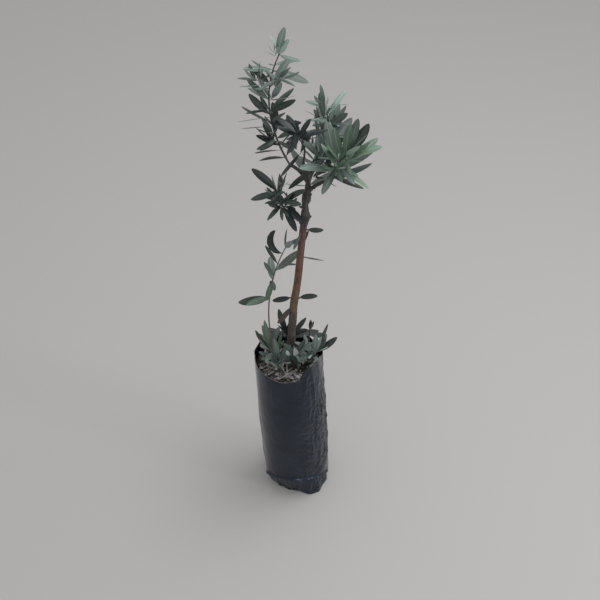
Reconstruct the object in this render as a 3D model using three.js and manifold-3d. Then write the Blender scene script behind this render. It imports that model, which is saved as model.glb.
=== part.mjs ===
// A young olive tree, about a metre tall, in a black film nursery bag filled with potting mix.
// Millimetres, +Z up. The origin is the centre of the bag's flat underside, +X is to the viewer's
// right and -Y is the side of the viewer. Every shoot grows from its root, through a point half way,
// to its tip, and carries its leaves in opposite pairs, each pair turned a quarter from the last.
import * as THREE from "three";
import { mergeVertices } from "three/addons/utils/BufferGeometryUtils.js";
import Module from "manifold-3d";

const wasm = await Module();
wasm.setup();

const GAP = 0.3; // clearance between neighbouring solids
const UP = new THREE.Vector3(0, 0, 1);
const AWAY = new THREE.Vector3(0, 1, 0);

// The bag: radii of its outer face at named heights, and its wall.
const BAG = {
  height: 345,
  lean: -17,
  wall: 1.0,
  foot: 54,
  heel: [61.5, 4],
  crease: [64.6, 14],
  low: [65.2, 60],
  middle: [66.2, 185],
  high: [64.2, 290],
  rim: 63,
  rimTilt: 5,
  rimRipple: 1.4,
  ripples: 5,
  sectors: 32,
};

// The potting mix: its level at the trunk, how far out it is flat, the rings of its top beyond that,
// how far it has sunk at the wall, and its bumps with their pitch sideways and away.
const MIX = { level: 328, flat: 36, rings: [58, 48], sunk: 4, bumps: 0.9, pitch: [0.31, 0.27] };

// The trunk: [height, sideways, away, radius] of its stations, from the mix to the leader's foot.
const TRUNK = {
  sides: 12,
  steps: 30,
  foot: [MIX.level + GAP, -14, 0, 10.2],
  stations: [
    [350, -13, 0, 8.1],
    [433, -8.5, 0.5, 7.0],
    [480, -5.5, 1, 6.8],
    [531, 1, 2, 6.2],
    [607, 7, 2, 5.7],
    [655, 11, 0, 5.8],
    [676, 14, -2, 6.9],
    [692, 13, -1, 4.9],
    [714, 15.5, 1.5, 7.0],
    [733, 18, 0, 4.5],
    [748, 16.5, -2, 4.2],
  ],
  head: [761, 13, -3, 3.6],
};

const BOUGH = { sides: 8, steps: 8, tip: 2.5 }; // tip: the radius where the mass begins

// The crown's masses: the stem's root, a point half way and tip, its leaf pairs from the share bare
// on, leaf length, the turn of the first pair, the angle to the stem at its foot and tip, the end
// leaves, and twigs within a span of the stem, aimed from a first turn, with their own pairs.
// Each stands on a bough that starts inside the trunk and ends at the stem's root, but the last,
// whose stem leaves the trunk's fork.
const CROWN = [
  {
    name: "left", bough: { root: [15, -2, 752], via: [2, 3, 765], thick: 3.4 },
    root: [-11, 8, 771], via: [-42, 31, 860], tip: [-25, 35, 951],
    pairs: 10, bare: 0.06, leaf: 48, phase: 55, splay: [54, 61], top: 3, seed: 2841,
    twigs: 5, twigPairs: 2, span: [0.05, 0.85], aim: 315,
  },
  {
    name: "right", bough: { root: [17, 0, 722], via: [31, -20, 752], thick: 3.6 },
    root: [48, -40, 775], via: [59, -54, 811], tip: [73, -60, 836],
    pairs: 7, bare: 0.05, leaf: 68, phase: 37, splay: [78, 18], top: 3, seed: 2671,
    twigs: 2, twigPairs: 2, span: [0.05, 0.5], aim: 322,
  },
  {
    name: "right_top", bough: { root: [15, 0, 755], via: [21, 9, 766], thick: 3.1 },
    root: [29, 18, 773], via: [52, 36, 806], tip: [42, 41, 857],
    pairs: 8, bare: 0.1, leaf: 56, phase: 57, splay: [48, 70], top: 2, seed: 2242,
    twigs: 2, twigPairs: 2, span: [0.3, 0.7], aim: 288,
  },
  {
    name: "centre", bough: { root: [13, -3, 758], via: [12, -7, 776], thick: 3.3 },
    root: [10, -12, 790], via: [11, -24, 831], tip: [-1, -39, 862],
    pairs: 5, bare: 0.05, leaf: 56, phase: 101, splay: [69, 43], top: 2, seed: 2954,
    twigs: 1, twigPairs: 1, span: [0, 0.4], aim: 19,
  },
  {
    name: "low_left", bough: { root: [11, -1, 658], via: [-4, -14, 684], thick: 3.2 },
    root: [-16, -27, 708], via: [-26, -40, 734], tip: [-30, -38, 755],
    pairs: 6, bare: 0, leaf: 42, phase: 41, splay: [100, 42], top: 2, seed: 1165,
    twigs: 1, twigPairs: 1, span: [0, 0.3], aim: 194,
  },
  {
    name: "back", bough: { root: [14, 1, 700], via: [17, 15, 703], thick: 3.2 },
    root: [20, 30, 709], via: [29, 59, 725], tip: [58, 90, 756],
    pairs: 6, bare: 0.1, leaf: 56, phase: 111, splay: [72, 20], top: 2, seed: 2154,
    twigs: 1, twigPairs: 2, span: [0.2, 0.6], aim: 32,
  },
  {
    name: "middle",
    root: [18, -2, 734], via: [27, -25, 790], tip: [41, -48, 817],
    pairs: 6, bare: 0.25, leaf: 56, phase: 153, splay: [82, 35], top: 2, seed: 879,
    twigs: 1, twigPairs: 1, span: [0.3, 0.6], aim: 281,
  },
];

// Low shoots that stand on the mix round the trunk's foot. Their roots are given sideways and away.
const LOW = [
  {
    name: "sucker_left", root: [-32, -19], via: [-50, -10, 478], tip: [-19, -1, 609],
    pairs: 4, bare: 0.59, leaf: 52, phase: 166, splay: [78, 48], top: 2, seed: 1801, twigs: 0,
  },
  {
    name: "sucker_right", root: [18, 8], via: [21, 6, 380], tip: [23, 5, 408],
    pairs: 1, bare: 0.7, leaf: 42, phase: 24, splay: [96, 34], top: 2, seed: 456, twigs: 0,
  },
  {
    name: "foot_foliage_left", root: [-34, -4], via: [-42, -3, 346], tip: [-52, -7, 369],
    pairs: 5, bare: 0.2, leaf: 56, phase: 13, splay: [57, 39], top: 2, seed: 2622,
    twigs: 1, twigPairs: 1, span: [0.1, 0.4], aim: 259,
  },
  {
    name: "foot_foliage_right", root: [12, -2], via: [25, -8, 346], tip: [36, -11, 368],
    pairs: 4, bare: 0.2, leaf: 56, phase: 27, splay: [64, 15], top: 2, seed: 334,
    twigs: 1, twigPairs: 1, span: [0.2, 0.5], aim: 258,
  },
  {
    name: "foot_foliage_front", root: [-26, -25], via: [-31, -35, 350], tip: [-36, -44, 372],
    pairs: 5, bare: 0.3, leaf: 46, phase: 50, splay: [80, 50], top: 2, seed: 7, twigs: 0,
  },
  {
    name: "foot_foliage_middle", root: [0, -22], via: [2, -30, 352], tip: [-3, -36, 382],
    pairs: 5, bare: 0.3, leaf: 46, phase: 10, splay: [80, 50], top: 2, seed: 3, twigs: 0,
  },
  {
    name: "foot_foliage_back", root: [-12, 24], via: [-15, 38, 350], tip: [-14, 36, 367],
    pairs: 5, bare: 0.2, leaf: 55, phase: 13, splay: [78, 51], top: 2, seed: 1293, twigs: 0,
  },
];

// Short shoots with one leaf on the bare trunk: height, turn round it from +X, rise and leaf length.
const SIDE_SHOOTS = [
  { height: 493, turn: 184, rise: -0.1, leaf: 42 },
  { height: 490, turn: 8, rise: 0.1, leaf: 42 },
  { height: 474, turn: 212, rise: -0.45, leaf: 52 },
  { height: 585, turn: -4, rise: 0, leaf: 46 },
  { height: 606, turn: 62, rise: 0.5, leaf: 44 },
  { height: 648, turn: -12, rise: -0.1, leaf: 38 },
  { height: 644, turn: 236, rise: -0.5, leaf: 40 },
];

const LEAF = {
  wide: 0.26, // greatest width over length
  thick: 0.024, // greatest thickness over length
  stations: [0, 0.3, 0.65, 1], // along its length
  halves: [0.045, 0.44, 0.46, 0], // half widths there, over the width
  sunk: 1.6, // how far back towards the root a leaf at a shoot's tip starts
};

// Leaves in pairs. Angles are in degrees, and a value ending in By is the most either way of its mean.
const PAIRED = {
  step: 90, // turn from one pair to the next
  turnBy: 24, // of a pair round the shoot
  apartBy: 16, // of a leaf from its pair's line
  splayBy: 14, // of a leaf's angle to the shoot
  taper: 0.22, // how much shorter the leaves get towards a shoot's tip
  lengthBy: 0.2,
  up: 0.7, // how much the upper face looks up instead of along the shoot
  rollBy: 0.7,
  curl: 16, // how far a leaf bends down
  curlBy: 26,
};

// The leaves at a shoot's end.
const ENDING = {
  turnBy: 30,
  splay: 20,
  splayBy: 10,
  length: 0.66, // against the others
  lengthBy: 0.15,
  up: 0.3, // how much the upper face looks up on an upright shoot
  upFlat: 1.5, // and how much more on a level one
  curl: -8,
};

// Stems and the twigs that branch from them.
const TWIG = {
  sides: 3,
  step: 14, // greatest length of one straight piece
  root: 2.1, // radius where it starts
  tip: 1.1, // radius at its end
  thinner: 0.8, // a twig against its stem
  first: 9, // length of a twig without leaf pairs
  more: 11, // and what each pair adds to it
  lengthBy: 0.15,
  rise: 0.15, // how far its tip turns up, over its length
  turn: 137.5, // from one twig to the next round the stem
  turnBy: 25,
  splay: 48, // its angle to the stem
  splayBy: 14,
  bare: 0.4,
  leaf: 0.86, // its leaves against the stem's
  leafSplay: [58, 34],
  top: 2,
};
const SIDE_REACH = 5; // how far a side shoot stands out of the trunk

// A solid of manifold-3d from a closed geometry. Triangles that have shrunk to a line are dropped.
function solidOf(geometry) {
  const bare = new THREE.BufferGeometry();
  bare.setAttribute("position", geometry.getAttribute("position"));
  bare.setIndex(geometry.index);
  const merged = mergeVertices(bare, 1e-3);
  const index = merged.index.array;
  const kept = [];
  for (let i = 0; i < index.length; i += 3) {
    const [a, b, c] = [index[i], index[i + 1], index[i + 2]];
    if (a !== b && b !== c && c !== a) kept.push(a, b, c);
  }
  const vertProperties = new Float32Array(merged.getAttribute("position").array);
  const triVerts = new Uint32Array(kept);
  return new wasm.Manifold(new wasm.Mesh({ numProp: 3, vertProperties, triVerts }));
}

// The geometry of a solid.
function geometryOf(solid) {
  const mesh = solid.getMesh();
  const places = new Float32Array(mesh.numVert * 3);
  for (let i = 0; i < mesh.numVert; i++) {
    places.set(mesh.vertProperties.subarray(i * mesh.numProp, i * mesh.numProp + 3), i * 3);
  }
  const geometry = new THREE.BufferGeometry();
  geometry.setAttribute("position", new THREE.BufferAttribute(places, 3));
  geometry.setIndex(new THREE.BufferAttribute(mesh.triVerts, 1));
  geometry.computeVertexNormals();
  return geometry;
}

function touches(one, other) {
  return one.intersect(other).getMesh().triVerts.length > 0;
}

// Numbers from 0 to 1 that follow from a seed.
function seeded(seed) {
  let state = Math.imul(seed, 2654435761) >>> 0;
  const draw = () => {
    state = (Math.imul(state, 1664525) + 1013904223) >>> 0;
    return state / 4294967296;
  };
  draw();
  draw();
  return draw;
}

// A value between -size and size.
const wobble = (draw, size) => (draw() * 2 - 1) * size;
const rad = THREE.MathUtils.degToRad;
const lerp = THREE.MathUtils.lerp;
const point = ([x, y, z]) => new THREE.Vector3(x, y, z);

// The arc from root to tip that passes the point via half way.
function arcThrough(root, via, tip) {
  const bend = via.clone().multiplyScalar(2).addScaledVector(root, -0.5).addScaledVector(tip, -0.5);
  return new THREE.QuadraticBezierCurve3(root.clone(), bend, tip.clone());
}

// Two directions square to a heading: side lies across the view, other completes the frame.
function across(heading) {
  const side = new THREE.Vector3().crossVectors(heading, AWAY).normalize();
  return { side, other: new THREE.Vector3().crossVectors(heading, side) };
}

// A unit direction at an angle from the heading, turned round it.
function splayed(heading, turn, splay) {
  const { side, other } = across(heading);
  const out = side.clone().multiplyScalar(Math.cos(turn)).addScaledVector(other, Math.sin(turn));
  const direction = heading.clone().multiplyScalar(Math.cos(splay));
  return { out, direction: direction.addScaledVector(out, Math.sin(splay)).normalize() };
}

// A closed cylinder whose points are moved: place gets the step and the two sideways shares.
function formed(sides, steps, place) {
  const geometry = new THREE.CylinderGeometry(1, 1, 1, sides, steps);
  const places = geometry.getAttribute("position");
  for (let i = 0; i < places.count; i++) {
    const step = Math.round((places.getY(i) + 0.5) * steps);
    const moved = place(step, places.getX(i), places.getZ(i));
    places.setXYZ(i, moved.x, moved.y, moved.z);
  }
  return geometry;
}

// A limb round a curve, with a flat cut at each end. radiusAt takes the share of its length, and
// spare makes it that much larger all round and at both ends.
function limb(curve, sides, steps, radiusAt, spare) {
  return formed(sides, steps, (step, x, z) => {
    const share = step / steps;
    const heading = curve.getTangent(share);
    const { side, other } = across(heading);
    const radius = radiusAt(share) + spare;
    const past = (step === steps ? spare : 0) - (step === 0 ? spare : 0);
    const centre = curve.getPoint(share).addScaledVector(heading, past);
    return centre.addScaledVector(side, x * radius).addScaledVector(other, -z * radius);
  });
}

// A leaf: three-sided, flat above with its keel below, bent down from a cut stalk to a point. The
// ring that it is formed from has its corners at x = 0 and two at CORNER, from z = 1 to z = -1/2.
const CORNER = Math.sin(Math.PI / 3);
const RING_HEIGHT = 1.5;

function leafGeometry(leaf, spare) {
  const { base, direction, side, face, length, curl } = leaf;
  const centres = [base.clone()];
  for (let i = 1; i < LEAF.stations.length; i++) {
    const [from, to] = [LEAF.stations[i - 1], LEAF.stations[i]];
    const bend = (curl * (from + to)) / 2;
    const centre = centres[i - 1].clone();
    centre.addScaledVector(direction, Math.cos(bend) * (to - from) * length);
    centres.push(centre.addScaledVector(face, -Math.sin(bend) * (to - from) * length));
  }
  const last = LEAF.stations.length - 1;
  return formed(3, last, (step, x, z) => {
    const open = step < last ? 1 : 0;
    const half = LEAF.halves[step] * LEAF.wide * length + spare * open;
    const deep = (LEAF.thick * length + 2 * spare) * open;
    const sideways = (-x / CORNER) * half;
    const rise = spare * open - ((z + 0.5) / RING_HEIGHT) * deep;
    return centres[step].clone().addScaledVector(side, sideways).addScaledVector(face, rise);
  });
}

// A leaf's frame: its upper face looks as near as it can to the direction up.
function leafFrom(base, direction, up, length, curl) {
  const face = up.clone().addScaledVector(direction, -up.dot(direction)).normalize();
  const side = new THREE.Vector3().crossVectors(direction, face);
  return { base, direction, side, face, length, curl };
}

// Where a leaf starts: inside the shoot, so that it is rooted in it at the very tip too.
function socket(curve, along) {
  return curve.getPoint(along).addScaledVector(curve.getTangent(along), -LEAF.sunk * along);
}

// The leaves of one shoot: opposite pairs, then the end leaves round its tip.
function shootLeaves(curve, shoot, draw) {
  const leaves = [];
  for (let k = 0; k < shoot.pairs; k++) {
    const share = k / Math.max(1, shoot.pairs - 1);
    const along = shoot.bare + (1 - shoot.bare) * share;
    const heading = curve.getTangent(along);
    const turn = rad(shoot.phase + PAIRED.step * k + wobble(draw, PAIRED.turnBy));
    for (const half of [0, 1]) {
      const angle = turn + half * Math.PI + rad(wobble(draw, PAIRED.apartBy));
      const splay = rad(lerp(shoot.splay[0], shoot.splay[1], share) + wobble(draw, PAIRED.splayBy));
      const { direction } = splayed(heading, angle, splay);
      const taper = 1 - PAIRED.taper * share * share;
      const length = shoot.leaf * taper * (1 + wobble(draw, PAIRED.lengthBy));
      const twist = new THREE.Vector3().crossVectors(direction, heading);
      const up = heading.clone().addScaledVector(UP, PAIRED.up);
      up.addScaledVector(twist, wobble(draw, PAIRED.rollBy));
      const curl = rad(PAIRED.curl + wobble(draw, PAIRED.curlBy));
      leaves.push(leafFrom(socket(curve, along), direction, up, length, curl));
    }
  }
  const heading = curve.getTangent(1);
  const level = 1 - Math.abs(heading.z);
  for (let k = 0; k < shoot.top; k++) {
    const turn = shoot.phase + PAIRED.step * shoot.pairs + (360 * k) / shoot.top;
    const angle = rad(turn + wobble(draw, ENDING.turnBy));
    const splay = rad(ENDING.splay + wobble(draw, ENDING.splayBy));
    const { out, direction } = splayed(heading, angle, splay);
    const up = out.multiplyScalar(-1).addScaledVector(UP, ENDING.up + ENDING.upFlat * level);
    const length = shoot.leaf * ENDING.length * (1 + wobble(draw, ENDING.lengthBy));
    leaves.push(leafFrom(socket(curve, 1), direction, up, length, rad(ENDING.curl)));
  }
  return leaves;
}

// The shoots of a mass: its stem first, then the twigs that branch from it.
function massShoots(mass) {
  const draw = seeded(mass.seed);
  const stem = arcThrough(point(mass.root), point(mass.via), point(mass.tip));
  const shoots = [{ curve: stem, leaves: shootLeaves(stem, mass, draw), thick: TWIG.root }];
  for (let j = 0; j < mass.twigs; j++) {
    const along = lerp(mass.span[0], mass.span[1], (j + draw()) / mass.twigs);
    const turn = rad(mass.aim + TWIG.turn * j + wobble(draw, TWIG.turnBy));
    const splay = rad(TWIG.splay + wobble(draw, TWIG.splayBy));
    const { direction } = splayed(stem.getTangent(along), turn, splay);
    const length = (TWIG.first + TWIG.more * mass.twigPairs) * (1 + wobble(draw, TWIG.lengthBy));
    const root = stem.getPoint(along);
    const via = root.clone().addScaledVector(direction, length / 2);
    const tip = root.clone().addScaledVector(direction, length).addScaledVector(UP, TWIG.rise * length);
    const curve = arcThrough(root, via, tip);
    const twig = {
      pairs: mass.twigPairs,
      bare: TWIG.bare,
      leaf: mass.leaf * TWIG.leaf,
      phase: draw() * 180,
      splay: TWIG.leafSplay,
      top: TWIG.top,
    };
    shoots.push({ curve, leaves: shootLeaves(curve, twig, draw), thick: TWIG.root * TWIG.thinner });
  }
  return shoots;
}

const tree = new THREE.Group();
let taken; // all the limbs and masses made so far, in one solid

function addMesh(name, solid, material) {
  const mesh = new THREE.Mesh(geometryOf(solid), material.clone());
  mesh.name = name;
  tree.add(mesh);
  taken = taken ? taken.add(solid) : solid;
}

const plain = (color, roughness) => new THREE.MeshStandardMaterial({ color, roughness, metalness: 0 });
const film = plain(0x2a2c36, 0.45);
const pottingMix = plain(0x4a403a, 0.95);
const trunkBark = plain(0x7a5238, 0.85);
const boughBark = plain(0x4a4238, 0.85);
const foliage = plain(0x42574c, 0.6);

// Half the bag's section, from the axis to the rim, moved inwards by inset.
function bagOutline(inset, top) {
  const heel = [BAG.heel[0] - inset, BAG.heel[1] + inset];
  const rings = [BAG.crease, BAG.low, BAG.middle, BAG.high];
  const wall = rings.map(([radius, height]) => [radius - inset, height]);
  return [[0, inset], [BAG.foot - inset, inset], heel, ...wall, [BAG.rim - inset, top]];
}

// A profile turned round the upright axis, whose points are then moved by place.
function turned(profile, sectors, place) {
  const points = profile.map(([radius, height]) => new THREE.Vector2(radius, height));
  const geometry = new THREE.LatheGeometry(points, sectors);
  geometry.rotateX(Math.PI / 2);
  const places = geometry.getAttribute("position");
  for (let i = 0; i < places.count; i++) {
    const moved = place(new THREE.Vector3(places.getX(i), places.getY(i), places.getZ(i)));
    places.setXYZ(i, moved.x, moved.y, moved.z);
  }
  return geometry;
}

const leanAt = (height) => (BAG.lean * height) / BAG.height;

// How much higher than its mean the rim stands at an angle.
function rimAt(angle) {
  return BAG.rimTilt * Math.sin(angle) + BAG.rimRipple * Math.sin(BAG.ripples * angle + 1);
}

// The bag: its section closed along the outer face and back along the inner one.
function bagSolid() {
  const outer = bagOutline(0, BAG.height);
  const inner = bagOutline(BAG.wall, BAG.height).reverse();
  const underRim = (BAG.high[1] + BAG.height) / 2;
  return solidOf(
    turned([...outer, ...inner], BAG.sectors, (p) => {
      if (p.z > underRim) p.z += rimAt(Math.atan2(p.y, p.x));
      p.x += leanAt(p.z);
      return p;
    }),
  );
}

// How far the mix has sunk at a distance from the bag's axis.
const sunkAt = (radius) => MIX.sunk * THREE.MathUtils.smoothstep(radius, MIX.flat, BAG.rim);

// The mix fills the bag, GAP clear of it, level round the trunk and sunk towards the wall, with
// bumps in between. spare raises its top.
function mixSolid(spare) {
  const wall = bagOutline(BAG.wall + GAP, MIX.level - MIX.sunk + spare);
  const radii = [...MIX.rings, MIX.flat, 0];
  const top = radii.map((radius) => [radius, MIX.level - sunkAt(radius) + spare]);
  const [wide, deep] = MIX.pitch;
  return solidOf(
    turned([...wall, ...top], BAG.sectors, (p) => {
      const radius = Math.hypot(p.x, p.y);
      const loose = p.z > MIX.level - MIX.sunk + spare && radius > MIX.flat + 1;
      if (loose) p.z += MIX.bumps * Math.sin(wide * p.x + 1) * Math.cos(deep * p.y);
      p.x += leanAt(p.z);
      return p;
    }),
  );
}

// The trunk: a smooth line through its stations, with a radius that follows them.
function trunkSolid(spare) {
  const stations = [TRUNK.foot, ...TRUNK.stations, TRUNK.head];
  const line = new THREE.CatmullRomCurve3(stations.map(([z, x, y]) => new THREE.Vector3(x, y, z)));
  const [foot, head] = [TRUNK.foot[0] - spare, TRUNK.head[0] + spare];
  return solidOf(
    formed(TRUNK.sides, TRUNK.steps, (step, x, z) => {
      const share = (step / TRUNK.steps) * (stations.length - 1);
      const below = Math.min(stations.length - 2, Math.floor(share));
      const centre = line.getPoint(share / (stations.length - 1));
      const blend = THREE.MathUtils.smoothstep(share - below, 0, 1);
      const radius = lerp(stations[below][3], stations[below + 1][3], blend) + spare;
      const height = step === 0 ? foot : step === TRUNK.steps ? head : centre.z;
      return new THREE.Vector3(centre.x + x * radius, centre.y - z * radius, height);
    }),
  );
}

// A mass's bough, from inside the trunk to the root of the stem, larger by spare.
function boughSolid({ bough, root }, spare) {
  const curve = arcThrough(point(bough.root), point(bough.via), point(root));
  const radius = (share) => lerp(bough.thick, BOUGH.tip, share);
  return solidOf(limb(curve, BOUGH.sides, BOUGH.steps, radius, spare));
}

// A stem or twig, three-sided, thicker by spare all round.
function twigSolid({ curve, thick }, spare) {
  const steps = Math.max(2, Math.round(curve.getLength() / TWIG.step));
  return solidOf(limb(curve, TWIG.sides, steps, (share) => lerp(thick, TWIG.tip, share), spare));
}

// A mass: stem, twigs and leaves in one solid, without those that would touch what is there
// already or the stem of a mass still to come.
function massSolid(mass, stems) {
  const others = [...stems].filter(([name]) => name !== mass.name).map(([, stem]) => stem);
  const free = (solid) => ![taken, ...others].some((other) => touches(solid, other));
  const pieces = [];
  massShoots(mass).forEach((shoot, order) => {
    if (order > 0 && !free(twigSolid(shoot, GAP))) return;
    pieces.push(twigSolid(shoot, 0));
    shoot.leaves
      .filter((leaf) => free(solidOf(leafGeometry(leaf, GAP))))
      .forEach((leaf) => pieces.push(solidOf(leafGeometry(leaf, 0))));
  });
  return pieces.reduce((sum, piece) => sum.add(piece));
}

// A point on the trunk's axis at a height, and the trunk's radius there.
function trunkAt(height) {
  const stations = [TRUNK.foot, ...TRUNK.stations, TRUNK.head];
  const above = stations.findIndex(([z]) => z >= height);
  const [low, high] = [stations[above - 1], stations[above]];
  const share = (height - low[0]) / (high[0] - low[0]);
  const [, x, y, radius] = low.map((value, i) => lerp(value, high[i], share));
  return { axis: new THREE.Vector3(x, y, height), radius };
}

// A side shoot as a mass with one end leaf: it starts on the trunk's axis and is cut clear of it.
function sideShoot({ height, turn, rise, leaf }, order) {
  const { axis, radius } = trunkAt(height);
  const heading = new THREE.Vector3(Math.cos(rad(turn)), Math.sin(rad(turn)), rise).normalize();
  const root = axis.clone().addScaledVector(heading, radius / 2);
  const tip = axis.clone().addScaledVector(heading, radius + SIDE_REACH);
  const via = root.clone().lerp(tip, 0.5);
  const places = { root: root.toArray(), via: via.toArray(), tip: tip.toArray() };
  const name = `trunk_shoot_${order + 1}`;
  return { name, ...places, pairs: 0, leaf, phase: 0, top: 1, seed: order + 1, twigs: 0 };
}

// A low shoot starts a little inside the mix and is cut clear of it.
function onMix(mass) {
  const [x, y] = mass.root;
  const level = MIX.level - sunkAt(Math.hypot(x - leanAt(MIX.level), y));
  return { ...mass, root: [x, y, level - TWIG.root] };
}

addMesh("grow_bag", bagSolid(), film);
addMesh("potting_mix", mixSolid(0), pottingMix);
addMesh("trunk", trunkSolid(0), trunkBark);

// What the next limb or shoot is cut clear of.
let clearing = trunkSolid(GAP).add(mixSolid(GAP));
for (const mass of CROWN.filter(({ bough }) => bough)) {
  addMesh(`bough_${mass.name}`, boughSolid(mass, 0).subtract(clearing), boughBark);
  clearing = clearing.add(boughSolid(mass, GAP));
}
const crown = CROWN.map((mass) => ({ ...mass, name: `foliage_${mass.name}` }));
const masses = [...crown, ...LOW.map(onMix), ...SIDE_SHOOTS.map(sideShoot)];
const stems = new Map(masses.map((mass) => [mass.name, twigSolid(massShoots(mass)[0], GAP)]));
for (const mass of masses) {
  addMesh(mass.name, massSolid(mass, stems).subtract(clearing), foliage);
}

export default tree;
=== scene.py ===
"""A young olive tree in a black film nursery bag: its looks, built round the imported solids.

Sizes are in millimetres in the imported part's frame and turn into metres where a mesh is made. +Z is
up, the origin is the centre of the bag's flat underside, +X is to the viewer's right and -Y is the
side of the viewer. The shoots grow by the same rule and from the same values as the solids.
"""

import logging
import math
from dataclasses import dataclass, field, replace
from enum import Enum

import bpy
import numpy as np
from mathutils import Matrix, Vector, noise
from mathutils.bvhtree import BVHTree


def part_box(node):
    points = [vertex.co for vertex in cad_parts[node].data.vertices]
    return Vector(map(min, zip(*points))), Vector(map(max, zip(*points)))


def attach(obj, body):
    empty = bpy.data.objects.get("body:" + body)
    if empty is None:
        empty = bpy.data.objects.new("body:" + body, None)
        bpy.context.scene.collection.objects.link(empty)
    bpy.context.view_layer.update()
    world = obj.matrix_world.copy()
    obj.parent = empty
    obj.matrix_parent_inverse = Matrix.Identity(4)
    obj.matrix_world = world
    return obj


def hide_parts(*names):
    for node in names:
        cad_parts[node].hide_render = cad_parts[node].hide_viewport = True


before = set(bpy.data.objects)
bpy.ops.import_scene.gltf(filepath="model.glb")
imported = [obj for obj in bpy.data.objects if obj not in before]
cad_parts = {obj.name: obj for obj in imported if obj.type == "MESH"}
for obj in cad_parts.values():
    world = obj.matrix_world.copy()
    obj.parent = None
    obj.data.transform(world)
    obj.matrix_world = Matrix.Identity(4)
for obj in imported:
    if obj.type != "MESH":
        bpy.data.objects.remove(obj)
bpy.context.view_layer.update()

log = logging.getLogger("olive_tree")

MM = 0.001
GAP = 0.3  # clearance between a leaf or twig and what it grows beside
UP = Vector((0, 0, 1))
AWAY = Vector((0, 1, 0))
Place = tuple[float, float, float]
Range = tuple[float, float]
Faces = list[tuple[int, ...]]
Shape = tuple[list[Vector], Faces]  # points in millimetres, and faces by the points' numbers
Piece = bpy.types.Object
Material = bpy.types.Material


def linear(colour: str, light: float = 1.0) -> tuple[float, float, float, float]:
    """Turns an sRGB hex colour into the linear one that a shader's socket holds.

    Args:
        colour: A hash and six hex digits.
        light: A factor on the linear colour.

    Returns:
        Red, green and blue, with a full alpha.
    """
    shares = [int(colour[i : i + 2], 16) / 255 for i in (1, 3, 5)]
    red, green, blue = (s / 12.92 if s <= 0.04045 else ((s + 0.055) / 1.055) ** 2.4 for s in shares)
    return red * light, green * light, blue * light, 1.0


def add_node(
    tree: bpy.types.NodeTree, kind: str, inputs: dict[str | int, object] | None = None, **settings: object
) -> bpy.types.Node:
    """Adds a node with its settings and links.

    Args:
        tree: The node tree that it goes into.
        kind: The node's type without its "ShaderNode" in front.
        inputs: A value, or the socket to link from, for each input by name or number.
        settings: The node's own settings.

    Returns:
        The new node.
    """
    node = tree.nodes.new("ShaderNode" + kind)
    for name, value in settings.items():
        setattr(node, name, value)
    set_inputs(node, inputs or {})
    return node


def set_inputs(node: bpy.types.Node, inputs: dict[str | int, object]) -> None:
    """Sets a node's inputs or links them.

    Args:
        node: The node.
        inputs: A value, or the socket to link from, for each input by name or number.
    """
    for key, value in inputs.items():
        if isinstance(value, bpy.types.NodeSocket):
            node.id_data.links.new(value, node.inputs[key])
        else:
            node.inputs[key].default_value = value


def set_shader(material: Material, sockets: dict[str | int, object]) -> None:
    """Sets or links sockets of a material's one principled shader."""
    set_inputs(material.node_tree.nodes["Principled BSDF"], sockets)


def start_material(name: str, sockets: dict[str | int, object]) -> Material:
    """Makes a material with one principled shader.

    Args:
        name: The material's name.
        sockets: Values of the shader's own sockets.

    Returns:
        The new material.
    """
    material = bpy.data.materials.new(name)
    material.use_nodes = True
    set_shader(material, sockets)
    return material


def per(size: float) -> float:
    """Returns the scale of a pattern on Object coordinates whose features are size millimetres wide."""
    return 1 / (size * MM)


def deselect_all() -> None:
    """Deselects everything, so that an operator acts only on what it adds."""
    bpy.ops.object.select_all(action="DESELECT")


def activate(piece: Piece) -> None:
    """Makes a piece the only selected object and the active one.

    Args:
        piece: The piece.
    """
    deselect_all()
    piece.select_set(True)
    bpy.context.view_layer.objects.active = piece


def put_in_scene(name: str, data: bpy.types.ID) -> Piece:
    """Makes an object of a mesh, curve, lamp or camera and puts it in the scene.

    Args:
        name: The object's name.
        data: What it shows.

    Returns:
        The new object.
    """
    item = bpy.data.objects.new(name, data)
    bpy.context.scene.collection.objects.link(item)
    return item


def apply_modifier(piece: Piece, kind: str, **settings: object) -> None:
    """Adds a modifier to a piece and applies it.

    Args:
        piece: The piece.
        kind: The modifier's type.
        settings: The modifier's own settings.
    """
    activate(piece)
    modifier = piece.modifiers.new(kind, kind)
    for name, value in settings.items():
        setattr(modifier, name, value)
    bpy.ops.object.modifier_apply(modifier=modifier.name)


def places_of(piece: Piece) -> np.ndarray:
    """Reads a piece's vertices.

    Args:
        piece: The piece.

    Returns:
        Its vertices in millimetres, one row each.
    """
    flat = np.empty(len(piece.data.vertices) * 3)
    piece.data.vertices.foreach_get("co", flat)
    return flat.reshape(-1, 3) / MM


def move_vertices(piece: Piece, places: np.ndarray) -> None:
    """Puts a piece's vertices at places in millimetres."""
    piece.data.vertices.foreach_set("co", (places * MM).ravel())
    piece.data.update()


def loft(rings: list[Range]) -> None:
    """Extrudes the selected loop from ring to ring, closes the last one and leaves edit mode.

    Args:
        rings: Radius and height of each ring. The first one is the loop that is there.
    """
    for (was, above), (radius, height) in zip(rings, rings[1:]):
        bpy.ops.mesh.extrude_region_move(TRANSFORM_OT_translate={"value": (0, 0, (height - above) * MM)})
        bpy.ops.transform.resize(value=(radius / was, radius / was, 1), center_override=(0, 0, 0))
    bpy.ops.mesh.edge_face_add()
    bpy.ops.mesh.select_all(action="SELECT")
    bpy.ops.mesh.normals_make_consistent(inside=False)
    bpy.ops.object.mode_set(mode="OBJECT")


def smooth(share: float | np.ndarray) -> float | np.ndarray:
    """Returns a smooth step: 0 up to a share of 0, and 1 from a share of 1 on."""
    held = np.clip(share, 0, 1)
    return held * held * (3 - 2 * held)


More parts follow.
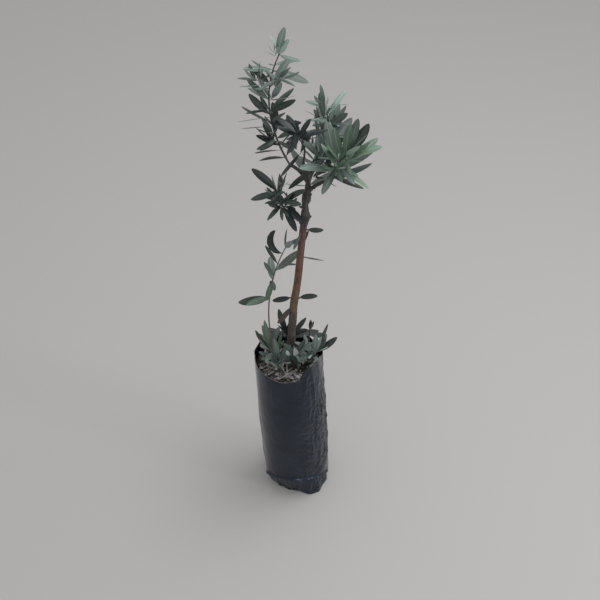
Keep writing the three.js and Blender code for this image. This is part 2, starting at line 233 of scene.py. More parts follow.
def rise(value: float | np.ndarray, start: float, over: float) -> float | np.ndarray:
    """Returns a smooth step: 0 up to start, and 1 once value is past it by over, which may be negative."""
    return smooth((value - start) / over)


def between(low: float, high: float, share: float) -> float:
    """Returns the value at a share of the way from low to high."""
    return low + (high - low) * share


class Draw:
    """Numbers from 0 to 1 that follow from a seed, the same as those of the solids."""

    scramble: int = 2654435761
    factor: int = 1664525
    step: int = 1013904223
    span: int = 1 << 32

    def __init__(self, seed: int) -> None:
        """Starts the numbers of a seed.

        Args:
            seed: The seed.
        """
        self.state = seed * self.scramble % self.span
        self.share()
        self.share()

    def share(self) -> float:
        """Returns the next number."""
        self.state = (self.state * self.factor + self.step) % self.span
        return self.state / self.span

    def wobble(self, size: float) -> float:
        """Returns a value between -size and size."""
        return (self.share() * 2 - 1) * size

    def within(self, low: float, high: float) -> float:
        """Returns a value between low and high."""
        return between(low, high, self.share())


@dataclass
class Batch:
    """Small shapes gathered into one mesh, each face with the number of its material."""

    points: list[Vector] = field(default_factory=list)
    faces: Faces = field(default_factory=list)
    slots: list[int] = field(default_factory=list)

    def add(self, points: list[Vector], faces: Faces, slots: list[int]) -> None:
        """Adds one shape.

        Args:
            points: Its points, in millimetres.
            faces: Its faces, by the numbers of its own points.
            slots: The material of each face, or one for all of them.
        """
        start = len(self.points)
        self.points.extend(points)
        self.faces.extend(tuple(start + i for i in face) for face in faces)
        self.slots.extend(slots if len(slots) > 1 else slots * len(faces))

    def piece(self, name: str, materials: list[Material], angle: float) -> Piece:
        """Makes the mesh and its object.

        Args:
            name: The piece's name.
            materials: Its materials, in the order of the slots.
            angle: The angle in degrees past which an edge stays sharp.

        Returns:
            The new piece.
        """
        mesh = bpy.data.meshes.new(name)
        mesh.from_pydata([point * MM for point in self.points], [], self.faces)
        used = sorted(set(self.slots))
        for slot in used:
            mesh.materials.append(materials[slot])
        order = {slot: i for i, slot in enumerate(used)}
        mesh.polygons.foreach_set("material_index", [order[slot] for slot in self.slots])
        piece = put_in_scene(name, mesh)
        activate(piece)
        bpy.ops.object.shade_smooth_by_angle(angle=math.radians(angle))
        return piece


def ring_faces(rings: int, sides: int) -> Faces:
    """Joins rings of points into a closed tube.

    Args:
        rings: How many rings there are.
        sides: How many points each has.

    Returns:
        The faces: the tube's wall, then its two ends.
    """
    last = (rings - 1) * sides
    wall = [
        (low + s, low + (s + 1) % sides, low + sides + (s + 1) % sides, low + sides + s)
        for low in range(0, last, sides)
        for s in range(sides)
    ]
    return [*wall, tuple(reversed(range(sides))), tuple(range(last, last + sides))]


def tube(line: list[Vector], radii: list[float], sides: int) -> Shape:
    """Makes a tube along a line.

    Args:
        line: Its points, in millimetres.
        radii: Its radius at each point.
        sides: How many sides it has.

    Returns:
        Its points and its faces.
    """
    points = []
    side = AWAY.cross(line[1] - line[0]).normalized()
    for i, (centre, radius) in enumerate(zip(line, radii)):
        heading = (line[min(i + 1, len(line) - 1)] - line[max(i - 1, 0)]).normalized()
        side = (side - heading * side.dot(heading)).normalized()
        other = heading.cross(side)
        for s in range(sides):
            turn = 2 * math.pi * s / sides
            points.append(centre + (side * math.cos(turn) + other * math.sin(turn)) * radius)
    return points, ring_faces(len(line), sides)


@dataclass(frozen=True)
class Ramp:
    """Turns what a pattern or coordinate gives into a share or factor, held at both ends."""

    start: float
    end: float
    low: float = 0.0  # what it gives at the start
    high: float = 1.0  # and at the end

    def of(self, value: bpy.types.NodeSocket, unit: float = 1.0) -> dict[str, object]:
        """Returns the inputs that turn a socket's value, which is measured in a unit."""
        reads = {"Value": value, "From Min": self.start * unit, "From Max": self.end * unit}
        return {**reads, "To Min": self.low, "To Max": self.high}


@dataclass(frozen=True)
class FilmFinish:
    """Blown black polythene film: near black with a blue cast and satin, so that folds catch long
    soft lights, with a grey haze where it has rubbed and dried splashes of mix near the ground."""

    colour: str = "#11151d"
    rubbed: str = "#1c212a"
    shine: str = "#c2d0ea"  # the cast of what it mirrors
    dust: str = "#57524d"
    edge: str = "#6e655f"  # the rim's edge: mix dried on, and a painted highlight of light catching the rim
    cloud: float = 55.0  # width of the rubbed patches
    rubbing: Ramp = Ramp(0.42, 0.7)
    rough: Ramp = Ramp(0.0, 1.0, 0.05, 0.3)
    splash: float = 4.0
    specks: Ramp = Ramp(0.5, 0.66)
    splashed: Ramp = Ramp(0.0, 34.0, 0.4, 0.0)  # by height
    crinkle: float = 7.0
    depth: float = 1.5  # of the crinkles
    upright: Place = (1, 1, 0.7)  # the crinkles run longer up the bag than round it
    crinkled: Ramp = Ramp(-30.0, 30.0, 0.05, 0.9)  # drawn smooth at the viewer's left, by sideways place
    dust_and_highlight: Ramp = Ramp(2.0, 16.0)  # the edge is pale with dried mix and a painted highlight up to the first sideways place

    def material(self) -> Material:
        """Makes the film's material.

        Returns:
            The material.
        """
        mirror = {"IOR": 1.51, "Specular Tint": linear(self.shine)}
        material = start_material("black polythene film", mirror)
        tree = material.node_tree
        place = add_node(tree, "TexCoord").outputs["Object"]
        axes = add_node(tree, "SeparateXYZ", {0: place}).outputs
        clouds = add_node(tree, "TexNoise", {"Vector": place, "Scale": per(self.cloud), "Detail": 4.0})
        haze = add_node(tree, "MapRange", self.rubbing.of(clouds.outputs["Fac"]))
        colours = {6: linear(self.colour), 7: linear(self.rubbed)}
        base = add_node(tree, "Mix", {0: haze.outputs[0], **colours}, data_type="RGBA")
        low = add_node(tree, "MapRange", self.splashed.of(axes["Z"], MM))
        spots = add_node(tree, "TexNoise", {"Vector": place, "Scale": per(self.splash), "Detail": 5.0})
        specks = add_node(tree, "MapRange", self.specks.of(spots.outputs["Fac"]))
        dirt = add_node(tree, "Math", {0: low.outputs[0], 1: specks.outputs[0]}, operation="MULTIPLY")
        colours = {6: base.outputs[2], 7: linear(self.dust)}
        coat = add_node(tree, "Mix", {0: dirt.outputs[0], **colours}, data_type="RGBA")
        satin = add_node(tree, "MapRange", self.rough.of(clouds.outputs["Fac"]))
        dull = add_node(tree, "Math", {0: satin.outputs[0], 1: dirt.outputs[0]}, operation="ADD")
        strength = add_node(tree, "MapRange", self.crinkled.of(axes["X"], MM))
        upright = add_node(tree, "Mapping", {"Vector": place, "Scale": self.upright})
        pattern = {"Scale": per(self.crinkle), "Detail": 3.0, "Distortion": 0.8}
        creases = add_node(
            tree, "TexNoise", {"Vector": upright.outputs[0], **pattern}, noise_type="RIDGED_MULTIFRACTAL"
        )
        relief = {"Height": creases.outputs["Fac"], "Distance": self.depth * MM}
        bump = add_node(tree, "Bump", {**relief, "Strength": strength.outputs[0]})
        looks = {"Base Color": coat.outputs[2], "Roughness": dull.outputs[0], "Normal": bump.outputs[0]}
        set_shader(material, looks)
        return material

    def edge_material(self) -> Material:
        """Makes the material of the rim's cut edge, which is pale on the side that is smooth: dried mix,
        and a painted highlight of light catching the rim.

        Returns:
            The material.
        """
        material = start_material("dusty film edge", {"Roughness": 0.8})
        tree = material.node_tree
        place = add_node(tree, "TexCoord").outputs["Object"]
        sideways = add_node(tree, "SeparateXYZ", {0: place}).outputs["X"]
        share = add_node(tree, "MapRange", self.dust_and_highlight.of(sideways, MM))
        # painted highlight and dried mix on the edge, fading into the film's colour towards the viewer's
        # right
        colours = {6: linear(self.edge), 7: linear(self.rubbed)}
        base = add_node(tree, "Mix", {0: share.outputs[0], **colours}, data_type="RGBA")
        set_shader(material, {"Base Color": base.outputs[2]})
        return material


@dataclass(frozen=True)
class LooseFinish:
    """Something dry and porous from the ground, such as peat, bark chips or dead wood: dull all
    over, mottled between two colours, with its grain in relief."""

    name: str
    dark: str
    light: str
    mottle: float  # width of the patches
    grain: float  # width of the grain
    depth: float
    stretch: Place = (1, 1, 1)
    mottling: Ramp = Ramp(0.38, 0.64)

    def material(self) -> Material:
        """Makes the material.

        Returns:
            The material.
        """
        material = start_material(self.name, {"Roughness": 0.93, "IOR": 1.4})
        tree = material.node_tree
        place = add_node(tree, "TexCoord").outputs["Object"]
        patches = add_node(tree, "TexNoise", {"Vector": place, "Scale": per(self.mottle), "Detail": 6.0})
        share = add_node(tree, "MapRange", self.mottling.of(patches.outputs["Fac"]))
        colours = {6: linear(self.dark), 7: linear(self.light)}
        base = add_node(tree, "Mix", {0: share.outputs[0], **colours}, data_type="RGBA")
        along = add_node(tree, "Mapping", {"Vector": place, "Scale": self.stretch}).outputs[0]
        grain = add_node(tree, "TexNoise", {"Vector": along, "Scale": per(self.grain), "Detail": 5.0})
        relief = {"Height": grain.outputs["Fac"], "Distance": self.depth * MM, "Strength": 0.8}
        bump = add_node(tree, "Bump", relief)
        set_shader(material, {"Base Color": base.outputs[2], "Normal": bump.outputs[0]})
        return material


@dataclass(frozen=True)
class BarkFinish:
    """Young olive bark: thin and dull, grey-brown at the foot, yellow-brown then reddish where it is
    still smooth, and dark and grey at the gnarled head, with upright streaks and pale breathing pores."""

    colours: tuple[tuple[float, str], ...] = (  # from each height on
        (330, "#443f3e"),
        (455, "#4b413a"),
        (480, "#5a4b3a"),
        (530, "#5d4638"),
        (590, "#60453c"),
        (640, "#58403d"),
        (668, "#3f3a3b"),
        (780, "#3c3a3a"),
    )
    streak: float = 2.2
    streaky: Place = (1, 1, 0.12)  # the streaks run up the trunk
    streaks: Ramp = Ramp(0.3, 0.7, 0.6, 1.34)  # factor on the colour
    patch: float = 13.0
    patches: Ramp = Ramp(0.3, 0.7, 0.72, 1.22)  # factor on the colour
    pore: str = "#83786f"
    pores: float = 8.0  # distance from pore to pore
    flat: Place = (0.6, 0.6, 1.6)  # a pore is wider than it is high
    pore_edge: Ramp = Ramp(0.06, 0.13, 0.55, 0.0)
    depth: float = 0.6

    def material(self) -> Material:
        """Makes the material.

        Returns:
            The material.
        """
        material = start_material("olive bark", {"Roughness": 0.82, "IOR": 1.45})
        tree = material.node_tree
        place = add_node(tree, "TexCoord").outputs["Object"]
        height = add_node(tree, "SeparateXYZ", {0: place}).outputs["Z"]
        colour = linear(self.colours[0][1])
        for (low, _), (high, paint) in zip(self.colours, self.colours[1:]):
            reached = Ramp(low, high).of(height, MM)
            share = add_node(tree, "MapRange", reached, interpolation_type="SMOOTHSTEP").outputs[0]
            mix = add_node(tree, "Mix", {0: share, 6: colour, 7: linear(paint)}, data_type="RGBA")
            colour = mix.outputs[2]
        upright = add_node(tree, "Mapping", {"Vector": place, "Scale": self.streaky}).outputs[0]
        streaks = add_node(tree, "TexNoise", {"Vector": upright, "Scale": per(self.streak), "Detail": 5.0})
        streaked = add_node(tree, "MapRange", self.streaks.of(streaks.outputs["Fac"])).outputs[0]
        clouds = add_node(tree, "TexNoise", {"Vector": place, "Scale": per(self.patch), "Detail": 3.0})
        cloudy = add_node(tree, "MapRange", self.patches.of(clouds.outputs["Fac"])).outputs[0]
        shade = add_node(tree, "Math", {0: streaked, 1: cloudy}, operation="MULTIPLY").outputs[0]
        skin = add_node(tree, "VectorMath", {0: colour, "Scale": shade}, operation="SCALE").outputs[0]
        flat = add_node(tree, "Mapping", {"Vector": place, "Scale": self.flat}).outputs[0]
        cells = add_node(tree, "TexVoronoi", {"Vector": flat, "Scale": per(self.pores)})
        spots = add_node(tree, "MapRange", self.pore_edge.of(cells.outputs["Distance"])).outputs[0]
        dotted = add_node(tree, "Mix", {0: spots, 6: skin, 7: linear(self.pore)}, data_type="RGBA")
        height = add_node(tree, "Math", {0: streaks.outputs["Fac"], 1: spots}, operation="ADD").outputs[0]
        bump = add_node(tree, "Bump", {"Height": height, "Distance": self.depth * MM, "Strength": 0.7})
        set_shader(material, {"Base Color": dotted.outputs[2], "Normal": bump.outputs[0]})
        return material


class Tint(Enum):
    """A kind of olive leaf, or a darker copy of one for painted shade: the colour of its glossy upper face
    and of its felted underside.
    """

    # painted shade: a darker copy for leaves that lie in the crown's shade
    SHADED = ("shaded", "#212827", "#464d4b")
    DEEP = ("deep green", "#353f3b", "#6b7673")
    GREY = ("grey green", "#5a6560", "#969f9c")
    FRESH = ("fresh green", "#607363", "#94a698")
    PALE = ("young", "#7b8c84", "#9aa6a1")
    DRY = ("dry", "#453c36", "#5d5149")


@dataclass(frozen=True)
class LeafFinish:
    """A leathery olive leaf: waxy above, so it takes a soft light, and dull with felt below. Its
    colours are plain, and each kind of leaf comes in a few shades."""

    shades: tuple[float, ...] = (0.8, 1.02, 1.27)
    waxy: float = 0.43
    felted: float = 0.75
    vein: float = 1.7  # the midrib against the upper face

    def materials(self) -> list[Material]:
        """Makes the materials of all the leaves.

        Returns:
            Upper face, midrib and underside for each shade of each kind of leaf.
        """
        made = []
        for tint in Tint:
            name, upper, under = tint.value
            for order, shade in enumerate(self.shades):
                for part, colour, light, rough in (
                    ("upper face", upper, shade, self.waxy),
                    ("midrib", upper, shade * self.vein, self.waxy),
                    ("underside", under, shade, self.felted),
                ):
                    sockets = {"Base Color": linear(colour, light), "Roughness": rough, "IOR": 1.45}
                    made.append(start_material(f"{name} olive leaf {part} {order + 1}", sockets))
        return made

    def slot(self, tint: Tint, shade: int) -> int:
        """Returns the number of the upper face's material; midrib and underside follow it."""
        return (list(Tint).index(tint) * len(self.shades) + shade) * 3


class Wood(Enum):
    """A kind of young shoot, by its colour. The skin is plain, dull and slightly waxy."""

    DARK = ("dark shoot", "#3b3b37")
    BROWN = ("brown shoot", "#5a4a40")
    GREEN = ("green shoot", "#55604f")

    def material(self) -> Material:
        """Returns a new material of the shoot's skin."""
        name, colour = self.value
        return start_material(name, {"Base Color": linear(colour), "Roughness": 0.6, "IOR": 1.45})


@dataclass(frozen=True)
class FoldSection:
    """The section and the line that all folds of the film share. Widths are against the fold's."""

    waver: float = 1.6  # how far the line wavers, in degrees
    wave: float = 17.0  # height of one radian of that
    steep: float = 0.6  # width of the crest's steep side
    gentle: float = 1.6  # width of its gentle side
    sharp: float = 1.4  # the lower, the sharper the crest
    hollow: float = 0.35  # depth of the hollow along it, against its own height
    hollow_wide: float = 3.0
    fade: float = 5.0  # it fades in and out over one part in so many of its height
    radius: float = 65.0  # the bag's, over which a slant counts
    slope: float = 2.0  # greatest slope that widens it


SECTION = FoldSection()


@dataclass(frozen=True)
class Fold:
    """A crease that stands out of the film. Angles are in degrees round the bag from +X."""

    angle: float
    low: float
    high: float
    stands: float
    wide: float
    slant: float = 0.0  # how far it has turned at its top

    def out(self, degrees: np.ndarray, radius: np.ndarray, z: np.ndarray) -> np.ndarray:
        """Works out how far the fold pushes the film out.

        Args:
            degrees: The angle of each point.
            radius: Its distance from the bag's axis.
            z: Its height.

        Returns:
            How far each point moves out.
        """
        tall = self.high - self.low
        share = (z - self.low) / tall
        line = self.angle + self.slant * share + SECTION.waver * np.sin(z / SECTION.wave + self.angle)
        slope = math.radians(abs(self.slant)) * SECTION.radius / tall
        wide = self.wide * math.hypot(1, min(slope, SECTION.slope))
        away = np.radians((degrees - line + 180) % 360 - 180) * radius / wide
        side = np.where(away * (self.slant or 1) > 0, SECTION.steep, SECTION.gentle)
        hollow = SECTION.hollow * np.exp(-((away / SECTION.hollow_wide) ** 2))
        crest = np.exp(-(np.abs(away / side) ** SECTION.sharp)) - hollow
        return self.stands * crest * smooth(share * SECTION.fade) * smooth((1 - share) * SECTION.fade)


@dataclass(frozen=True)
class Crinkles:
    """Short creases, strewn over a part of the film."""

    count: int
    angles: Range
    heights: Range
    stands: float  # how far the largest stand out
    slant: float = 9.0
    long: Range = (14.0, 60.0)
    lower: float = 0.4  # the least of them against the largest
    wide: Range = (1.8, 3.6)

    def strew(self, draw: Draw) -> list[Fold]:
        """Draws the creases.

        Args:
            draw: The numbers that they follow.

        Returns:
            The creases as folds.
        """
        folds = []
        for _ in range(self.count):
            low = draw.within(*self.heights)
            high = low + draw.within(*self.long)
            stands = self.stands * draw.within(self.lower, 1)
            wide = draw.within(*self.wide)
            folds.append(Fold(draw.within(*self.angles), low, high, stands, wide, draw.wobble(self.slant)))
        return folds


@dataclass(frozen=True)
class Ripple:
    """A wave round the bag."""

    size: float
    waves: int
    phase: float = 0.0

    def at(self, turn: np.ndarray) -> np.ndarray:
        """Returns the wave's height at angles in radians."""
        return self.size * np.sin(self.waves * turn + self.phase)


@dataclass
class GrowBag:
    """The film bag: a shell lofted from ring to ring and then creased, with a gathered foot.

    Angles are in degrees round the bag from +X. A pair of where and how far goes to rise().
    """

    height: float = 345.0
    lean: float = -17.0
    film: float = 0.9
    profile: tuple[Range, ...] = (  # radius and height
        (54, 0), (61.5, 4), (64.6, 14), (65.2, 60), (66.2, 185), (64.2, 290), (63, 345),
    )
    underside: tuple[float, ...] = (44, 26, 9)  # radii of the rings that close it
    sectors: int = 64
    row: float = 9.2
    low_row: float = 5.0
    low_rows_from: float = 64.0
    wall_from: Range = (46, 8)  # radius past which a point belongs to the wall
    wall_whole: float = 0.99  # share of the wall up to which a point is on the underside
    sharp: float = 50.0  # angle between faces past which an edge stays sharp

    rim_tilt: float = 5.0
    rim_ripple: Ripple = Ripple(1.4, 5, 1)
    rim_raised: float = 25.0  # how much higher the film stands up at the viewer's right
    raised_from: float = 255.0
    raised_left: Range = (-74, 22)
    raised_right: Range = (4, -30)
    loose_from: Range = (300, 45)  # heights where the film is free of the mix and ripples
    loose: tuple[Ripple, ...] = (Ripple(1.5, 7, 0.5), Ripple(0.8, 13))
    loose_tight: float = 0.25  # how much of that is left on the tight panel
    tight: float = -125.0  # middle of the panel that is tight, at the viewer's left
    tight_top: float = 54.9  # its half width at the rim, where it stops short of the seam at 180
    tight_edge: Range = (52, -14)  # and further down
    lumps: tuple[Range, ...] = ((34, 1), (15, 0.5))  # width and share of the soft lumps
    lump: float = 1.2
    lump_tight: float = 0.7  # how much of them the tight panel loses

    arch: float = 50.0  # height at front and back of the crease over the gathered foot
    arch_round: float = 0.8
    arch_least: float = 2.0
    lip: float = 63.4  # radius of the foot right below that crease
    lip_stands: float = 3.7
    lip_above: float = 2.4
    lip_tall: float = 2.5
    lip_from: Range = (12, 15)  # height of the arch from which the lip stands out
    beads: tuple[Ripple, Ripple] = (Ripple(0.45, 9, 0.4), Ripple(1, 4))
    gathered_from: Range = (10, 15)  # height of the arch from which the foot is gathered
    crease: float = 2.5  # height over which the foot turns into the wall
    belly: Range = (0.75, 0.6)  # how fast the foot widens, and where its pleats stand out most
    pleats: tuple[Place, ...] = ((13, 60, 0), (6, 30, 7), (24, 11, 0))  # width, height, shift
    pleated: Place = (2.3, 0.5, 0.7)  # how far the broad ones, the fine ones and the swells stand out
    pleat_wide: float = 0.25  # the higher, the broader a crest
    pleat_sunk: float = 1.2
    ground: tuple[Range, ...] = (  # angle and radius where the foot meets the ground
        (-180, 61), (-162, 58.7), (-121, 51), (-85, 54), (-68, 68), (-51, 71), (-40, 65), (-12, 64),
        (20, 61), (60, 55), (90, 53), (120, 56), (155, 59), (180, 61),
    )
    folds: tuple[Fold, ...] = (
        Fold(-12, 30, 306, 3.4, 5.5, 6),
        Fold(-24, 60, 262, 2.2, 4, -4),
        Fold(-31, 120, 318, 1.7, 3.2, 3),
        Fold(-38, 70, 250, 1.6, 3.4, -5),
        Fold(-47, 150, 240, 1.5, 3, -3),
        Fold(-55, 110, 200, 1.2, 3, 2),
        Fold(-58, 225, 300, 1.1, 3.5, 4),
        Fold(-42, 262, 338, 1.6, 4, -8),
        Fold(-66, 286, 334, 1.5, 3.5, 12),
        Fold(-5, 40, 190, 1.8, 4, 3),
        Fold(-60, 62, 96, 1.9, 4, 34),
        Fold(-52, 50, 78, 1.7, 3.5, 38),
        Fold(-36, 84, 112, 1.5, 3.5, 22),
        Fold(-170, 30, 240, 1.4, 8, 3),
        Fold(40, 20, 300, 1.8, 6, -6),
        Fold(75, 60, 330, 1.4, 5, 5),
        Fold(120, 30, 280, 1.8, 6, 4),
        Fold(150, 80, 320, 1.4, 5, -5),
    )
    seed: int = 11  # of the crinkles
    crinkles: tuple[Crinkles, ...] = (
        Crinkles(60, (-46, -8), (95, 250), 1.2),
        Crinkles(45, (-80, 60), (70, 335), 0.8),
        Crinkles(80, (-58, 0), (56, 325), 1.5, 24, (9, 22)),
        Crinkles(40, (60, 185), (40, 330), 0.8),
        Crinkles(20, (60, 185), (40, 330), 0.8, 34, (8, 22)),
        Crinkles(14, (-170, -80), (60, 320), 0.35),
    )

    def radius_at(self, height: float) -> float:
        """Returns the film's radius at a height before it is creased."""
        radii, heights = zip(*self.profile)
        return float(np.interp(height, heights, radii))

    def lean_at(self, height: float | np.ndarray) -> float | np.ndarray:
        """Returns how far the bag's axis has moved sideways at a height."""
        return self.lean * height / self.height

    def rim_at(self, turn: np.ndarray) -> np.ndarray:
        """Works out the line of the rim.

        Args:
            turn: Angles in radians.

        Returns:
            How much higher than its mean the rim stands at each.
        """
        degrees = np.degrees(turn)
        wave = self.rim_tilt * np.sin(turn) + self.rim_ripple.at(turn)
        raised = self.rim_raised * rise(degrees, *self.raised_left) * rise(degrees, *self.raised_right)
        return wave + raised

    def shell(self) -> Piece:
        """Lofts the bag down from its rim, ring by ring, and closes its foot.

        Returns:
            The bag as one plain surface.
        """
        high = np.arange(self.height, self.low_rows_from, -self.row)
        heights = [float(h) for h in (*high, *np.arange(self.low_rows_from, 1, -self.low_row), 0)]
        rings = [(self.radius_at(h), h) for h in heights] + [(radius, 0) for radius in self.underside]
        radius, height = rings[0]
        deselect_all()
        bpy.ops.mesh.primitive_circle_add(
            vertices=self.sectors, radius=radius * MM, location=(0, 0, height * MM)
        )
        shell = bpy.context.object
        shell.name = "grow_bag_film"
        bpy.ops.object.transform_apply()
        bpy.ops.object.mode_set(mode="EDIT")
        bpy.ops.mesh.select_all(action="SELECT")
        loft(rings)
        apply_modifier(shell, "SUBSURF", levels=2, render_levels=2)
        return shell

    def relief(self, places: np.ndarray, turn: np.ndarray, arch: np.ndarray) -> np.ndarray:
        """Adds up the wall's folds, crinkles, soft lumps, lip and ripples.

        Args:
            places: The points of the plain surface.
            turn: The angle of each, in radians.
            arch: The height of the crease over the foot, at each.

        Returns:
            How far each point stands out.
        """
        z, degrees, radius = places[:, 2], np.degrees(turn), np.hypot(places[:, 0], places[:, 1])
        out = np.zeros_like(z)
        draw = Draw(self.seed)
        strewn = [fold for kind in self.crinkles for fold in kind.strew(draw)]
        for fold in (*self.folds, *strewn):
            out += fold.out(degrees, radius, z)
        off = np.abs(degrees - self.tight)
        lumps = [sum(share * noise.noise(Vector(p) / wide) for wide, share in self.lumps) for p in places]
        out += self.lump * (1 - self.lump_tight * rise(off, *self.tight_edge)) * np.array(lumps)
        beads = 1 + self.beads[0].at(turn) * self.beads[1].at(turn)
        lip = np.exp(-(((z - arch - self.lip_above) / self.lip_tall) ** 2))
        out += self.lip_stands * beads * lip * rise(arch, *self.lip_from)
        loose = rise(z, *self.loose_from) * np.where(off < self.tight_top, self.loose_tight, 1.0)
        return out + loose * sum(ripple.at(turn) for ripple in self.loose)

    def foot(self, places: np.ndarray, turn: np.ndarray, arch: np.ndarray) -> np.ndarray:
        """Works out the wall of the gathered foot, from the ground up to the crease.

        Args:
            places: The points of the plain surface.
            turn: The angle of each, in radians.
            arch: The height of the crease, at each.

        Returns:
            How far from the bag's axis each point lies.
        """
        ground = np.interp(np.degrees(turn), *zip(*self.ground))
        share = np.clip(places[:, 2] / arch, 0, 1)
        pleats = np.array([self.pleat(place) for place in places])
        widens, fullest = self.belly
        standing = pleats * np.sin(np.pi * share**fullest) ** 0.5
        return ground + (self.lip - ground) * share**widens + standing

    def pleat(self, place: np.ndarray) -> float:
        """Works out the pleats of the foot, which have sharp crests.

        Args:
            place: A point.

        Returns:
            How far the pleats stand out there.
        """
        x, y, z = place
        spots = [Vector((x / wide + shift, y / wide, z / tall)) for wide, tall, shift in self.pleats]
        broad, fine = (1 - min(1.0, abs(noise.noise(spot)) / self.pleat_wide) for spot in spots[:2])
        swell = noise.noise(spots[2])
        out = self.pleated
        return out[0] * broad + out[1] * fine + out[2] * swell - self.pleat_sunk

    def creased(self, places: np.ndarray) -> np.ndarray:
        """Moves the points of the plain surface into the film's creases.

        Args:
            places: The surface's points, in millimetres.

        Returns:
            The moved points.
        """
        x, y, z = places.T
        turn = np.arctan2(y, x)
        plain = np.hypot(x, y)
        wall = rise(plain, *self.wall_from)
        arch = self.arch * np.abs(np.sin(turn)) ** self.arch_round + self.arch_least
        creased = plain + self.relief(places, turn, arch) * wall
        ground = np.interp(np.degrees(turn), *zip(*self.ground))
        under = plain / self.profile[0][0] * ground
        foot = np.where(wall > self.wall_whole, self.foot(places, turn, arch), under)
        gathered = rise(arch, *self.gathered_from) * smooth((arch - z) / self.crease)
        radius = np.maximum(creased + (foot - creased) * gathered, 0)
        z = z + self.rim_at(turn) * rise(z, self.raised_from, self.height - self.raised_from) * wall
        return np.stack([radius * np.cos(turn) + self.lean_at(z), radius * np.sin(turn), z], 1)

    def build(self) -> Piece:
        """Builds and dresses the bag.

        Returns:
            The finished piece.
        """
        film = self.shell()
        move_vertices(film, self.creased(places_of(film)))
        finish = FilmFinish()
        film.data.materials.append(finish.material())
        film.data.materials.append(finish.edge_material())
        apply_modifier(film, "SOLIDIFY", thickness=self.film * MM, offset=-1.0, material_offset_rim=1)
        bpy.ops.object.shade_smooth_by_angle(angle=math.radians(self.sharp))
        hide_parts("grow_bag")
        return film


@dataclass
class PottingMix:
    """The filling: a body inside the film whose top is crumbly and has sunk towards the wall."""

    bag: GrowBag
    level: float = 328.0
    flat: float = 36.0  # radius up to which the top is flat
    wall: float = 63.0  # radius where it has sunk all the way
    sunk: float = 4.0
    cells: int = 96
    sharp: float = 60.0  # angle between faces past which an edge stays sharp
    radius: float = 61.5
    skirt: tuple[Range, ...] = ((61.5, 300), (61, 185), (59, 60), (44, 20), (40, 2))  # radius, height
    crumbs: tuple[Range, ...] = ((9, 1.5), (4.2, 1.3), (2.1, 0.7))  # width and height
    swell: Range = (23, 1.8)
    finish: LooseFinish = LooseFinish("damp peat and bark mix", "#1f1c1c", "#494341", 5.0, 1.6, 1.2)

    def sunk_at(self, radius: float) -> float:
        """Returns how far the mix has sunk at a distance from the bag's axis."""
        return self.sunk * float(rise(radius, self.flat, self.wall - self.flat))

    def top_at(self, x: float, y: float) -> float:
        """Works out the crumbly top.

        Args:
            x: A place's distance to the viewer's right.
            y: Its distance away from the viewer.

        Returns:
            The height of the top there.
        """
        radius = math.hypot(x - self.bag.lean_at(self.level), y)
        spot = Vector((x, y, 0))
        crumbs = sum(high * noise.noise(spot / wide) for wide, high in self.crumbs)
        wide, high = self.swell
        return self.level - self.sunk_at(radius) + crumbs + high * noise.noise(spot / wide)

    def build(self) -> Piece:
        """Builds and dresses the filling: a square grid is rounded, lofted down and made crumbly.

        Returns:
            The finished piece.
        """
        deselect_all()
        bpy.ops.mesh.primitive_grid_add(x_subdivisions=self.cells, y_subdivisions=self.cells, size=2)
        mix = bpy.context.object
        mix.name = "potting_mix_crumb"
        grid = places_of(mix) * MM
        x = grid[:, 0] * np.sqrt(1 - grid[:, 1] ** 2 / 2) * self.radius
        y = grid[:, 1] * np.sqrt(1 - grid[:, 0] ** 2 / 2) * self.radius
        low = self.level - self.sunk
        move_vertices(mix, np.stack([x, y, np.full_like(x, low)], 1))
        bpy.ops.object.mode_set(mode="EDIT")
        bpy.ops.mesh.select_mode(type="EDGE")
        bpy.ops.mesh.select_all(action="SELECT")
        bpy.ops.mesh.region_to_loop()
        loft([(self.radius, low), *self.skirt])
        places = places_of(mix)
        places[:, 0] += self.bag.lean_at(1) * places[:, 2]
        top = places[:, 2] > low - 1
        places[top, 2] = [self.top_at(px, py) for px, py in places[top, :2]]
        move_vertices(mix, places)
        bpy.ops.object.shade_smooth_by_angle(angle=math.radians(self.sharp))
        mix.data.materials.append(self.finish.material())
        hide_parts("potting_mix")
        return mix


@dataclass(frozen=True)
class Scatter:
    """One kind of litter on the mix: how many pieces, their sizes and their finish."""

    name: str
    count: int
    long: Range
    wide: Range
    thick: Range
    finish: LooseFinish
    seed: int
    out: Range = (14, 56)  # nearest to and furthest from the bag's axis
    tips: Range = (26, 20)  # how far a chip tips and rolls at most, in degrees
    lies: Range = (0.2, 2.4)  # how high its middle lies over the mix
    bows: Range = (0.3, 0.25)  # how far it bows sideways and upwards at most, against the least length
    sharp: float = 35.0  # angle between faces past which an edge stays sharp

    def finished(self, batch: Batch) -> Piece:
        """Makes and dresses the one piece of all the litter of this kind.

        Args:
            batch: Its shapes.

        Returns:
            The finished piece.
        """
        piece = batch.piece(self.name, [self.finish.material()], self.sharp)
        return piece


